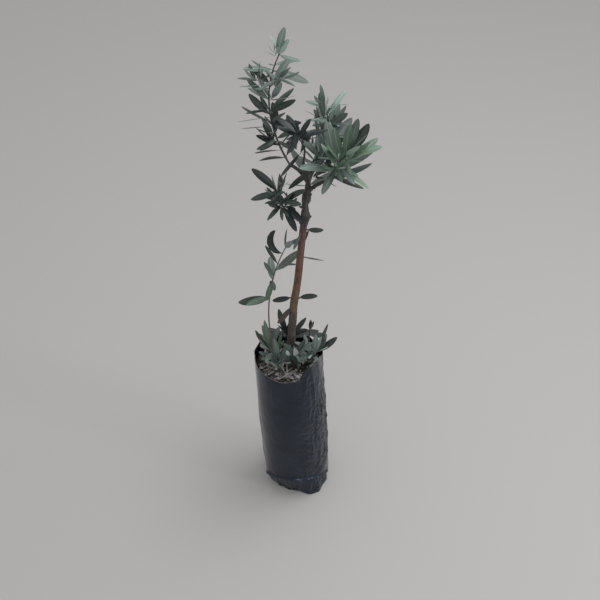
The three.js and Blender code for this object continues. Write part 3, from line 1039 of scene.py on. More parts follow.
@dataclass
class Litter:
    """Bark chips and dry sticks that lie on the mix."""

    mix: PottingMix
    kinds: tuple[Scatter, ...] = (
        Scatter("bark_chips_brown", 50, (13, 30), (6, 11), (1.6, 3.2),
                LooseFinish("brown bark chips", "#383535", "#7b7574", 7, 1.3, 0.8, (1, 0.3, 1)), 3),
        Scatter("bark_chips_grey", 34, (15, 36), (6.5, 11), (1.4, 2.6),
                LooseFinish("weathered bark chips", "#86817f", "#cbc6c4", 8, 1.5, 0.7, (1, 0.3, 1)), 5),
        Scatter("bark_chips_dark", 60, (7, 17), (4, 8), (1.8, 3.6),
                LooseFinish("damp bark chips", "#211d1d", "#413b3a", 6, 1.3, 0.9), 9),
    )
    sticks: Scatter = Scatter(
        "dry_sticks", 12, (18, 44), (0.8, 1.7), (0.8, 1.7),
        LooseFinish("dry sticks", "#6b6665", "#b1abaa", 8, 1.0, 0.4, (0.4, 0.4, 1)), 21, (12, 44),
        lies=(1.5, 3.5), sharp=50.0,
    )
    cuts: tuple[Range, ...] = ((28, 0.36), (158, 0.34), (215, 0.38), (330, 0.37))  # angle and distance
    cut_tilt: float = 0.22
    leans: tuple[float, ...] = (0, 9, -11, 17)  # how far the cuts of each carved chip lean, in degrees
    broken: float = 0.05  # width of a chip's broken edges
    bends: tuple[float, ...] = (-0.3, -0.1, 0.1, 0.3)  # where a chip can bow
    stick_rise: float = 0.12
    stick_bend: Range = (2, 1.5)  # sideways and upwards
    stick_swell: tuple[float, ...] = (1, 1.1, 1, 0.9, 0.7)  # its radius from end to end
    stick_sides: int = 6
    reach: float = 57.0  # how far from the bag's axis a piece may end, clear of the film
    turns: Range = (30, 180)  # how far round from the front a piece may lie, in degrees

    def chip(self, lean: float) -> tuple[np.ndarray, Faces]:
        """Carves one chip of unit size from a block: its corners are cut off and its edges broken.

        Args:
            lean: How far the cuts lean, in degrees, each the other way than the last.

        Returns:
            Its points and its faces.
        """
        deselect_all()
        bpy.ops.mesh.primitive_cube_add(size=1)
        block = bpy.context.object
        bpy.ops.object.mode_set(mode="EDIT")
        for order, (angle, away) in enumerate(self.cuts):
            bpy.ops.mesh.select_all(action="SELECT")
            turn = angle - lean if order % 2 else angle + lean
            tilt = self.cut_tilt * math.sin(turn)  # another one for each cut
            way = (math.cos(math.radians(turn)), math.sin(math.radians(turn)), tilt)
            spot = tuple(away * w for w in way)
            bpy.ops.mesh.bisect(plane_co=spot, plane_no=way, use_fill=True, clear_outer=True)
        bpy.ops.mesh.select_all(action="SELECT")
        bpy.ops.mesh.normals_make_consistent(inside=False)
        bpy.ops.object.mode_set(mode="OBJECT")
        apply_modifier(block, "BEVEL", width=self.broken, segments=1, limit_method="ANGLE")
        bpy.ops.object.mode_set(mode="EDIT")
        for across in self.bends:
            bpy.ops.mesh.select_all(action="SELECT")
            bpy.ops.mesh.bisect(plane_co=(across, 0, 0), plane_no=(1, 0, 0))
        bpy.ops.object.mode_set(mode="OBJECT")
        points = places_of(block) * MM
        faces = [tuple(face.vertices) for face in block.data.polygons]
        bpy.data.objects.remove(block)
        return points, faces

    def spot(self, draw: Draw, out: Range) -> Vector:
        """Draws a place on the mix, more often on the viewer's side.

        Args:
            draw: The numbers that it follows.
            out: Its least and greatest distance from the bag's axis.

        Returns:
            The place.
        """
        turn = math.radians(-90 + draw.wobble(1) * draw.within(*self.turns))
        away = between(*out, math.sqrt(draw.share()))
        x = self.mix.bag.lean_at(self.mix.level) + away * math.cos(turn)
        y = away * math.sin(turn)
        return Vector((x, y, self.mix.top_at(x, y)))

    def inside(self, points: list[Vector]) -> list[Vector]:
        """Moves a piece towards the bag's axis until all of it lies inside the film.

        Args:
            points: Its points.

        Returns:
            The moved points.
        """
        axis = Vector((self.mix.bag.lean_at(self.mix.level), 0, 0))
        furthest = max(points, key=lambda point: (point - axis).xy.length)
        out = (furthest - axis).xy
        back = out.normalized() * max(0.0, out.length - self.reach)
        return [point - Vector((*back, 0)) for point in points]

    def scatter(self, kind: Scatter, chips: list[tuple[np.ndarray, Faces]]) -> Piece:
        """Strews one kind of chip.

        Args:
            kind: The kind.
            chips: The carved chips to copy.

        Returns:
            All of them in one piece.
        """
        draw = Draw(kind.seed)
        batch = Batch()
        for order in range(kind.count):
            points, faces = chips[order % len(chips)]
            size = np.diag([draw.within(*kind.long), draw.within(*kind.wide), draw.within(*kind.thick)])
            placed = Matrix.Rotation(draw.wobble(math.pi), 3, "Z")
            for most, axis in zip(kind.tips, "XY"):
                placed = placed @ Matrix.Rotation(math.radians(draw.wobble(most)), 3, axis)
            spot = self.spot(draw, kind.out) + UP * draw.within(*kind.lies)
            bow, arch = (draw.wobble(kind.long[0] * most) for most in kind.bows)
            bowed = [size @ point + (0, bow * point[0] ** 2, arch * point[0] ** 2) for point in points]
            batch.add(self.inside([spot + placed @ Vector(point) for point in bowed]), faces, [0])
        return kind.finished(batch)

    def strew_sticks(self) -> Piece:
        """Strews thin sticks.

        Returns:
            All of them in one piece.
        """
        kind = self.sticks
        draw = Draw(kind.seed)
        batch = Batch()
        shares = np.linspace(0, 1, len(self.stick_swell)).tolist()
        for _ in range(kind.count):
            middle = self.spot(draw, kind.out) + UP * draw.within(*kind.lies)
            turn = draw.wobble(math.pi)
            way = Vector((math.cos(turn), math.sin(turn), draw.wobble(self.stick_rise)))
            length, radius = draw.within(*kind.long), draw.within(*kind.thick)
            sideways, upwards = self.stick_bend
            bend = Vector((draw.wobble(sideways), draw.wobble(sideways), draw.within(0, upwards)))
            line = [middle + way * (s - 0.5) * length + bend * math.sin(math.pi * s) for s in shares]
            points, faces = tube(line, [radius * swell for swell in self.stick_swell], self.stick_sides)
            batch.add(self.inside(points), faces, [0])
        return kind.finished(batch)

    def build(self) -> list[Piece]:
        """Builds and dresses all the litter.

        Returns:
            Its pieces.
        """
        chips = [self.chip(lean) for lean in self.leans]
        return [*(self.scatter(kind, chips) for kind in self.kinds), self.strew_sticks()]


@dataclass(frozen=True)
class Arc:
    """A shoot's line: the arc from root to tip that passes the point via half way."""

    root: Vector
    via: Vector
    tip: Vector

    @classmethod
    def of(cls, part: "Bough | Spray") -> "Arc":
        """Returns the line of a bough, or of a mass's stem."""
        return cls(Vector(part.root), Vector(part.via), Vector(part.tip))

    @property
    def bend(self) -> Vector:
        """Returns the point that pulls the arc through via."""
        return self.via * 2 - (self.root + self.tip) / 2

    def point(self, share: float) -> Vector:
        """Returns the point at a share of the arc."""
        rest = 1 - share
        return self.root * rest * rest + self.bend * (2 * rest * share) + self.tip * share * share

    def heading(self, share: float) -> Vector:
        """Returns the unit direction at a share of the arc."""
        bend = self.bend
        return ((bend - self.root) * (1 - share) + (self.tip - bend) * share).normalized()

    def points(self, steps: int) -> list[Vector]:
        """Returns the points that cut the arc into so many steps."""
        return [self.point(i / steps) for i in range(steps + 1)]

    def length(self, steps: int = 8) -> float:
        """Returns the arc's length, summed over so many steps."""
        marks = self.points(steps)
        return sum((b - a).length for a, b in zip(marks, marks[1:]))


@dataclass(frozen=True)
class Bough:
    """A bough from inside the trunk to the root of a mass's stem."""

    node: str
    root: Place
    via: Place
    tip: Place
    thick: float


@dataclass(frozen=True)
class Stub:
    """What is left of a side shoot that was cut off."""

    root: Place
    tip: Place
    thick: float
    thin: float


@dataclass
class WoodyParts:
    """Trunk and boughs as one skin, so that each bough leaves the trunk with a collar of bark."""

    stations: tuple[tuple[float, float, float, float], ...] = (  # height, sideways, away, radius
        (322, -14, 0, 10.6), (328.3, -14, 0, 10.2), (350, -13, 0, 8.1), (433, -8.5, 0.5, 7.0),
        (480, -5.5, 1, 6.8), (531, 1, 2, 6.2), (607, 7, 2, 5.7), (655, 11, 0, 5.8), (676, 14, -2, 6.9),
        (692, 13, -1, 4.9), (714, 15.5, 1.5, 7.0), (733, 18, 0, 4.5), (748, 16.5, -2, 4.2),
        (761, 13, -3, 3.6),
    )
    boughs: tuple[Bough, ...] = (
        Bough("bough_left", (15, -2, 752), (2, 3, 765), (-11, 8, 771), 3.4),
        Bough("bough_right", (17, 0, 722), (31, -20, 752), (48, -40, 775), 3.6),
        Bough("bough_right_top", (15, 0, 755), (21, 9, 766), (29, 18, 773), 3.1),
        Bough("bough_centre", (13, -3, 758), (12, -7, 776), (10, -12, 790), 3.3),
        Bough("bough_low_left", (11, -1, 658), (-4, -14, 684), (-16, -27, 708), 3.2),
        Bough("bough_back", (14, 1, 700), (17, 15, 703), (20, 30, 709), 3.2),
    )
    bough_tip: float = 2.5
    bough_steps: int = 10
    steps: int = 90
    bark: float = 0.45  # how much thicker the bark makes the trunk than its solid
    stubs: tuple[Stub, ...] = (
        Stub((14, -2, 671), (23.5, -5, 679), 4.2, 1.8),
        Stub((13, -1, 690), (4, -5, 699), 3.4, 1.6),
        Stub((16, 1, 716), (24, -4, 722), 3.6, 2.0),
        Stub((-8, 0, 462), (-17, -3, 468), 3.4, 1.4),
        Stub((-3, 0, 490), (5, -4, 496), 3.2, 1.6),
        Stub((-5, 1, 484), (-12, -4, 491), 3.0, 1.5),
    )
    voxel: float = 0.85
    head: tuple[Range, Range] = ((648, 20), (775, -40))  # where and over what height it gets gnarled
    foot: Range = (420, -80)
    furrow: Place = (2.4, 2.4, 22)  # sizes of the relief
    lump: Place = (7, 7, 9)
    fine: Place = (1.8, 1.8, 3)
    furrowed: Place = (0.28, 0.35, 0.35)  # how deep all over, more at the foot, more at the head
    lumpy: Range = (0.3, 1.5)  # how high all over, more at the head
    rough: float = 0.25  # at the head
    rounding: int = 4  # how finely a limb's section is rounded
    stub_end: Range = (0.9, 0.5)  # where a stub's end begins, and what is left of its radius
    softened: int = 4  # how often the skin is smoothed, and how much each time
    softened_by: float = 0.5

    def trunk_line(self) -> tuple[list[Vector], list[float]]:
        """Works out the trunk's line, which passes its stations smoothly.

        Returns:
            The points of the line and the trunk's radius at each.
        """
        spots = [Vector((x, y, z)) for z, x, y, _ in self.stations]
        last = len(spots) - 1
        line, radii = [], []
        for i in range(self.steps + 1):
            share = i / self.steps * last
            below = min(last - 1, int(share))
            part = share - below
            a, b, c, d = (spots[min(max(below + k, 0), last)] for k in (-1, 0, 1, 2))
            curve = b * 2 + (c - a) * part + (a * 2 - b * 5 + c * 4 - d) * part**2
            line.append((curve + (b * 3 - a - c * 3 + d) * part**3) / 2)
            thick = between(self.stations[below][3], self.stations[below + 1][3], float(smooth(part)))
            radii.append(thick + self.bark)
        return line, radii

    def limb(self, line: list[Vector], radii: list[float]) -> Piece:
        """Makes one limb as a curve with a round section and turns it into a mesh.

        Args:
            line: Its points.
            radii: Its radius at each point.

        Returns:
            The limb.
        """
        curve = bpy.data.curves.new("limb", "CURVE")
        curve.dimensions = "3D"
        curve.bevel_depth = MM
        curve.bevel_resolution = self.rounding
        curve.use_fill_caps = True
        spline = curve.splines.new("POLY")
        spline.points.add(len(line) - 1)
        for knot, place, radius in zip(spline.points, line, radii):
            knot.co = (*(place * MM), 1)
            knot.radius = radius
        activate(put_in_scene("limb", curve))
        bpy.ops.object.convert(target="MESH")
        return bpy.context.object

    def relief_at(self, place: np.ndarray) -> float:
        """Works out the relief: fine upright furrows, and lumps where the head is gnarled.

        Args:
            place: A point of the skin.

        Returns:
            How far it stands out.
        """
        gnarled = math.prod(float(rise(place[2], *band)) for band in self.head)
        foot = float(rise(place[2], *self.foot))
        sizes = (self.furrow, self.lump, self.fine)
        furrow, lump, fine = (noise.noise(Vector(place / size)) for size in sizes)
        everywhere, at_foot, at_head = self.furrowed
        furrow = furrow * (everywhere + at_foot * foot + at_head * gnarled)
        return furrow + lump * (self.lumpy[0] + self.lumpy[1] * gnarled) + fine * self.rough * gnarled

    def limbs(self) -> list[Piece]:
        """Makes trunk, boughs and stubs, each as its own mesh.

        Returns:
            The limbs, the trunk first.
        """
        limbs = [self.limb(*self.trunk_line())]
        for bough in self.boughs:
            shares = [i / self.bough_steps for i in range(self.bough_steps + 1)]
            radii = [between(bough.thick, self.bough_tip, share) for share in shares]
            limbs.append(self.limb(Arc.of(bough).points(self.bough_steps), radii))
        for stub in self.stubs:
            start, end = Vector(stub.root), Vector(stub.tip)
            along, left = self.stub_end
            line = [start, start.lerp(end, 0.5), start.lerp(end, along), end]
            middle = (stub.thick + stub.thin) / 2
            limbs.append(self.limb(line, [stub.thick, middle, stub.thin, stub.thin * left]))
        return limbs

    def build(self) -> Piece:
        """Builds and dresses trunk and boughs.

        Returns:
            The finished piece.
        """
        limbs = self.limbs()
        activate(limbs[0])
        for limb in limbs:
            limb.select_set(True)
        bpy.ops.object.join()
        skin = bpy.context.object
        skin.name = "trunk_and_bough_bark"
        apply_modifier(skin, "REMESH", mode="VOXEL", voxel_size=self.voxel * MM)
        apply_modifier(skin, "SMOOTH", factor=self.softened_by, iterations=self.softened)
        places = places_of(skin)
        normals = np.array([vertex.normal for vertex in skin.data.vertices])
        relief = np.array([self.relief_at(place) for place in places])
        move_vertices(skin, places + normals * relief[:, None])
        bpy.ops.object.shade_smooth()
        skin.data.materials.clear()
        skin.data.materials.append(BarkFinish().material())
        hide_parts("trunk", *(bough.node for bough in self.boughs))
        return skin


@dataclass(frozen=True)
class LeafRule:
    """How the leaves of a shoot differ, in degrees and shares, as in the solids."""

    step: float = 90
    turn_by: float = 24
    apart_by: float = 16
    splay_by: float = 14
    taper: float = 0.22
    length_by: float = 0.2
    up: float = 0.7
    roll_by: float = 0.7
    curl: float = 16
    curl_by: float = 26
    sunk: float = 1.6
    end_turn_by: float = 30
    end_splay: float = 20
    end_splay_by: float = 10
    end_length: float = 0.66
    end_length_by: float = 0.15
    end_up: float = 0.3
    end_up_flat: float = 1.5
    end_curl: float = -8


@dataclass(frozen=True)
class TwigRule:
    """How twigs branch from a stem, as in the solids."""

    root: float = 2.1
    tip: float = 1.1
    thinner: float = 0.8
    first: float = 9
    more: float = 11
    length_by: float = 0.15
    rise: float = 0.15
    turn: float = 137.5
    turn_by: float = 25
    splay: float = 48
    splay_by: float = 14
    bare: float = 0.4
    leaf: float = 0.86
    leaf_splay: Range = (58, 34)
    top: int = 2


@dataclass(frozen=True)
class FineRule:
    """What only the looks show: finer twigs, and twigs as slim as the photograph's."""

    seed: int = 5000  # added to the mass's
    from_stem: Range = (0.15, 0.95)  # shares of the stem between which a finer twig branches
    from_twig: Range = (0.35, 0.95)
    splay: float = 8  # added to the splay of other twigs
    long: Range = (7, 14)
    bare: float = 0.6
    root: float = 1.1
    tip: float = 0.7
    slim: float = 0.78  # how thick the looks show a twig, against the solids
    knot: float = 1.22  # and where leaves leave it
    step: float = 7  # length of one straight piece


LEAVES = LeafRule()
TWIGS = TwigRule()
FINE = FineRule()


@dataclass(frozen=True)
class Shoot:
    """What the leaf rule reads of a stem or twig."""

    pairs: int
    bare: float
    leaf: float
    phase: float
    splay: Range
    top: int


@dataclass(frozen=True)
class Leaf:
    """Where one leaf sits and how it bends."""

    base: Vector
    direction: Vector
    face: Vector
    length: float
    curl: float
    along: float  # share of its shoot
    wide: float = 1.0  # its width against the others
    sweep: float = 0.0  # how far it bends to its side, in radians

    @property
    def side(self) -> Vector:
        """Returns the direction across the leaf."""
        return self.direction.cross(self.face)

    def midrib(self, shares: tuple[float, ...], sweep: float = 0.0) -> list[Vector]:
        """Follows the midrib from the leaf's base.

        Args:
            shares: Shares of its length, the first of them 0.
            sweep: How far it bends to its side, in radians.

        Returns:
            The point at each share.
        """
        points, point, last = [], self.base.copy(), 0.0
        for share in shares:
            bend, swing = self.curl * (share + last) / 2, sweep * (share + last) / 2
            forward = self.direction * math.cos(swing) + self.side * math.sin(swing)
            way = forward * math.cos(bend) - self.face * math.sin(bend)
            point = point + way * ((share - last) * self.length)
            points.append(point)
            last = share
        return points


@dataclass(frozen=True)
class LoneLeaf:
    """A leaf on a stem that the photograph shows and the rule doesn't grow."""

    along: float
    direction: Place
    up: Place
    length: float
    curl: float  # in degrees over its length
    tint: Tint
    wide: float = 1.0
    sweep: float = 0.0  # how far it bends to its side, in degrees over its length


@dataclass(frozen=True)
class Spray:
    """One mass: a stem, its leaves and twigs, and how the photograph shows them coloured."""

    node: str
    root: Place
    via: Place
    tip: Place
    pairs: int
    leaf: float  # length of its leaves
    phase: float  # turn of its first pair, in degrees
    seed: int
    bare: float = 0.0
    splay: Range = (60, 60)
    top: int = 2
    twigs: int = 0
    twig_pairs: int = 0
    span: Range = (0, 0)  # where the twigs branch from the stem
    aim: float = 0.0  # turn of the first twig, in degrees
    fine: int = 0  # finer twigs, which the solids leave out
    fine_leaf: float = 0.5  # their leaves against the others
    tints: tuple[Tint, ...] = (Tint.DEEP,)  # from the stem's foot to its tip
    wood: Wood = Wood.DARK
    lone: tuple[LoneLeaf, ...] = ()
    absent: tuple[tuple[int, int], ...] = ()  # shoot and leaf by number, where bare wood shows


def splayed(heading: Vector, turn: float, splay: float) -> tuple[Vector, Vector]:
    """Turns away from a heading.

    Args:
        heading: The unit direction to start from.
        turn: The turn round it, in radians.
        splay: The angle to it, in radians.

    Returns:
        The direction straight out, and the splayed one.
    """
    side = heading.cross(AWAY).normalized()
    other = heading.cross(side)
    out = side * math.cos(turn) + other * math.sin(turn)
    return out, (heading * math.cos(splay) + out * math.sin(splay)).normalized()


def leaf_facing(up: Vector, base: Vector, direction: Vector, *shape: float) -> Leaf:
    """Turns a leaf so that its upper face looks as near as it can one way.

    Args:
        up: That way.
        base: Where the leaf starts.
        direction: Where it points.
        shape: Its length, curl and so on, as Leaf has them.

    Returns:
        The leaf.
    """
    face = (up - direction * up.dot(direction)).normalized()
    return Leaf(base, direction, face, *shape)


def shoot_leaves(arc: Arc, shoot: Shoot, draw: Draw) -> list[Leaf]:
    """Grows the leaves of one shoot: opposite pairs, then the end leaves round its tip.

    Args:
        arc: The shoot's line.
        shoot: How it carries its leaves.
        draw: The numbers that it follows.

    Returns:
        The leaves from foot to tip.
    """
    rule, leaves = LEAVES, []
    for k in range(shoot.pairs):
        share = k / max(1, shoot.pairs - 1)
        along = shoot.bare + (1 - shoot.bare) * share
        heading = arc.heading(along)
        turn = math.radians(shoot.phase + rule.step * k + draw.wobble(rule.turn_by))
        for half in (0, 1):
            angle = turn + half * math.pi + math.radians(draw.wobble(rule.apart_by))
            splay = math.radians(between(*shoot.splay, share) + draw.wobble(rule.splay_by))
            direction = splayed(heading, angle, splay)[1]
            length = shoot.leaf * (1 - rule.taper * share * share) * (1 + draw.wobble(rule.length_by))
            up = heading + UP * rule.up + direction.cross(heading) * draw.wobble(rule.roll_by)
            curl = math.radians(rule.curl + draw.wobble(rule.curl_by))
            base = arc.point(along) - heading * rule.sunk * along
            leaves.append(leaf_facing(up, base, direction, length, curl, along))
    heading = arc.heading(1)
    for k in range(shoot.top):
        turn = shoot.phase + rule.step * shoot.pairs + 360 * k / shoot.top
        angle = math.radians(turn + draw.wobble(rule.end_turn_by))
        splay = math.radians(rule.end_splay + draw.wobble(rule.end_splay_by))
        out, direction = splayed(heading, angle, splay)
        up = UP * (rule.end_up + rule.end_up_flat * (1 - abs(heading.z))) - out
        length = shoot.leaf * rule.end_length * (1 + draw.wobble(rule.end_length_by))
        base = arc.point(1) - heading * rule.sunk
        leaves.append(leaf_facing(up, base, direction, length, math.radians(rule.end_curl), 1.0))
    return leaves


@dataclass(frozen=True)
class Grown:
    """One grown shoot: its line, its radii, its leaves and its place along the stem."""

    arc: Arc
    root: float
    tip: float
    leaves: list[Leaf]
    at: float


def branch(parent: Arc, along: float, turn: float, splay: float, length: float) -> Arc:
    """Works out the line of a twig, which rises a little towards its tip.

    Args:
        parent: The line that it branches from.
        along: The share of that line.
        turn: The turn round it, in degrees.
        splay: The angle to it, in degrees.
        length: The twig's length.

    Returns:
        The twig's line.
    """
    direction = splayed(parent.heading(along), math.radians(turn), math.radians(splay))[1]
    root = parent.point(along)
    return Arc(root, root + direction * length / 2, root + direction * length + UP * TWIGS.rise * length)


def grow(spray: Spray) -> list[Grown]:
    """Grows a mass: its stem first, then the twigs that branch from it.

    Args:
        spray: The mass.

    Returns:
        Its shoots with all their leaves.
    """
    draw = Draw(spray.seed)
    stem = Arc.of(spray)
    shape = Shoot(spray.pairs, spray.bare, spray.leaf, spray.phase, spray.splay, spray.top)
    grown = [Grown(stem, TWIGS.root, TWIGS.tip, shoot_leaves(stem, shape, draw), 0.0)]
    for j in range(spray.twigs):
        along = between(*spray.span, (j + draw.share()) / spray.twigs)
        turn = spray.aim + TWIGS.turn * j + draw.wobble(TWIGS.turn_by)
        splay = TWIGS.splay + draw.wobble(TWIGS.splay_by)
        length = (TWIGS.first + TWIGS.more * spray.twig_pairs) * (1 + draw.wobble(TWIGS.length_by))
        arc = branch(stem, along, turn, splay, length)
        size = spray.leaf * TWIGS.leaf
        twig = Shoot(spray.twig_pairs, TWIGS.bare, size, draw.share() * 180, TWIGS.leaf_splay, TWIGS.top)
        leaves = shoot_leaves(arc, twig, draw)
        grown.append(Grown(arc, TWIGS.root * TWIGS.thinner, TWIGS.tip, leaves, along))
    return grown


def grow_finer(spray: Spray, shoots: list[Grown]) -> list[Grown]:
    """Grows the finer twigs of a mass: short ones with small leaves, from stem and twigs in turn.

    Args:
        spray: The mass.
        shoots: Its stem and twigs.

    Returns:
        The finer twigs, whose roots spread over all the shoots.
    """
    draw = Draw(spray.seed + FINE.seed)
    grown = []
    for j in range(spray.fine):
        parent = shoots[int(draw.share() * len(shoots))] if j % 2 else shoots[0]
        on_stem = parent is shoots[0]
        along = draw.within(*(FINE.from_stem if on_stem else FINE.from_twig))
        turn = spray.phase + TWIGS.turn * j + draw.wobble(TWIGS.turn_by)
        splay = TWIGS.splay + FINE.splay + draw.wobble(TWIGS.splay_by)
        arc = branch(parent.arc, along, turn, splay, draw.within(*FINE.long))
        size = spray.leaf * spray.fine_leaf
        twig = Shoot(1, FINE.bare, size, draw.share() * 180, TWIGS.leaf_splay, TWIGS.top)
        at = along if on_stem else parent.at
        grown.append(Grown(arc, FINE.root, FINE.tip, shoot_leaves(arc, twig, draw), at))
    return grown


@dataclass(frozen=True)
class LeafForm:
    """Outline and section of an olive leaf: narrow, blunt with a small point, its halves arched on
    both sides of a groove above the midrib, with a rib below."""

    stations: tuple[float, ...] = (0, 0.05, 0.13, 0.25, 0.4, 0.56, 0.71, 0.85, 0.95, 1.0)
    halves: tuple[float, ...] = (0.09, 0.1, 0.42, 0.77, 0.96, 1.0, 0.92, 0.69, 0.38, 0.06)
    wide: float = 0.125  # greatest half width over length
    wide_by: Range = (0.88, 1.12)
    twist_by: float = 16.0  # in degrees over its length
    sweep_by: float = 18.0
    stalk: float = 0.7  # least half width near the foot
    stalk_to: float = 0.1
    vein: Range = (0.5, 0.4)  # half width of the midrib: at most, and against the leaf's
    droop: float = 0.2
    groove: float = 0.35
    rib: float = 0.09
    thick: float = 0.55
    point_from: float = 0.95
    point_thick: float = 0.4  # against the rest
    strip: tuple[Range, ...] = ((0, 0.045), (0.3, 0.44), (0.65, 0.46), (1, 0.02))
    strip_wide: float = 2.08

    def shape(self, leaf: Leaf, draw: Draw) -> Shape:
        """Makes one leaf.

        Args:
            leaf: Where it sits.
            draw: The numbers that its width, twist and sweep follow.

        Returns:
            Its points and its faces.
        """
        wide = self.wide * leaf.wide * leaf.length * draw.within(*self.wide_by)
        twist = math.radians(draw.wobble(self.twist_by))
        sweep = math.radians(draw.wobble(self.sweep_by)) + leaf.sweep
        points = []
        for share, half, centre in zip(self.stations, self.halves, leaf.midrib(self.stations, sweep)):
            swing, bend, turn = sweep * share, leaf.curl * share, twist * share
            forward = leaf.direction * math.cos(swing) + leaf.side * math.sin(swing)
            side = leaf.side * math.cos(swing) - leaf.direction * math.sin(swing)
            face = leaf.face * math.cos(bend) + forward * math.sin(bend)
            across = side * math.cos(turn) + face * math.sin(turn)
            out = face * math.cos(turn) - side * math.sin(turn)
            width = max(half * wide, self.stalk * (1 - share) if share < self.stalk_to else 0.0)
            vein = min(self.vein[0], width * self.vein[1])
            body = self.thick * (1 if share < self.point_from else self.point_thick)
            edge, groove = -self.droop * width, -self.groove * body
            below = (0.0, -body - self.rib * width)
            section = ((-width, edge), (-vein, groove), (vein, groove), (width, edge), below)
            points.extend(centre + across * a + out * b for a, b in section)
        return points, ring_faces(len(self.stations), len(points) // len(self.stations))

    def blade(self, leaf: Leaf) -> Shape:
        """Makes a plain strip in a leaf's place, to find out what the leaf would touch.

        Args:
            leaf: The leaf.

        Returns:
            The strip's points and faces.
        """
        points = []
        shares, halves = zip(*self.strip)
        for half, centre in zip(halves, leaf.midrib(shares)):
            reach = leaf.side * (half * self.strip_wide * self.wide * leaf.length + GAP)
            points.extend((centre - reach, centre + reach))
        return points, [(2 * i, 2 * i + 1, 2 * i + 3, 2 * i + 2) for i in range(len(self.strip) - 1)]

    def slots(self, first: int) -> list[int]:
        """Returns the material of each face, from the number of the upper face's material."""
        ring = [first, first + 1, first, first + 2, first + 2]
        return ring * (len(self.stations) - 1) + [first + 2, first]


class Surroundings:
    """What a leaf or twig may not touch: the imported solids, and the stems of the other masses."""

    steps: int = 12  # of the plain tube that stands for a stem
    sides: int = 3

    def __init__(self, sprays: list[Spray]) -> None:
        """Reads the solids and grows the stems of all the masses.

        Args:
            sprays: The masses, in the order in which they claim their room.
        """
        self.nodes = {name: self.tree_of(node) for name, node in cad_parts.items()}
        shares = [i / self.steps for i in range(self.steps + 1)]
        radii = [between(TWIGS.root, TWIGS.tip, share) + GAP for share in shares]
        stems = {spray.node: Arc.of(spray).points(self.steps) for spray in sprays}
        self.stems = {
            node: BVHTree.FromPolygons(*tube(line, radii, self.sides)) for node, line in stems.items()
        }
        fixed = ["grow_bag", "potting_mix", "trunk"]
        boughs = [name for name in self.nodes if name.startswith("bough_")]
        self.order = [*fixed, *boughs, *(spray.node for spray in sprays)]

    @staticmethod
    def tree_of(node: Piece) -> BVHTree:
        """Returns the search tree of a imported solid, in millimetres."""
        points = [vertex.co / MM for vertex in node.data.vertices]
        return BVHTree.FromPolygons(points, [tuple(face.vertices) for face in node.data.polygons])

    def free(self, node: str, points: list[Vector], faces: Faces) -> bool:
        """Tells whether a shape of a mass is clear of the limbs, earlier masses and other stems.

        Args:
            node: The mass that the shape belongs to.
            points: The shape's points.
            faces: Its faces.

        Returns:
            True if it touches nothing.
        """
        shape = BVHTree.FromPolygons(points, faces)
        taken = self.order[: self.order.index(node)]
        if any(shape.overlap(self.nodes[name]) for name in taken):
            return False
        return not any(shape.overlap(stem) for name, stem in self.stems.items() if name != node)


@dataclass(frozen=True)
class SideShoot:
    """A short shoot with one leaf on the bare trunk."""

    height: float
    turn: float  # in degrees round the trunk from +X
    rise: float
    leaf: LoneLeaf


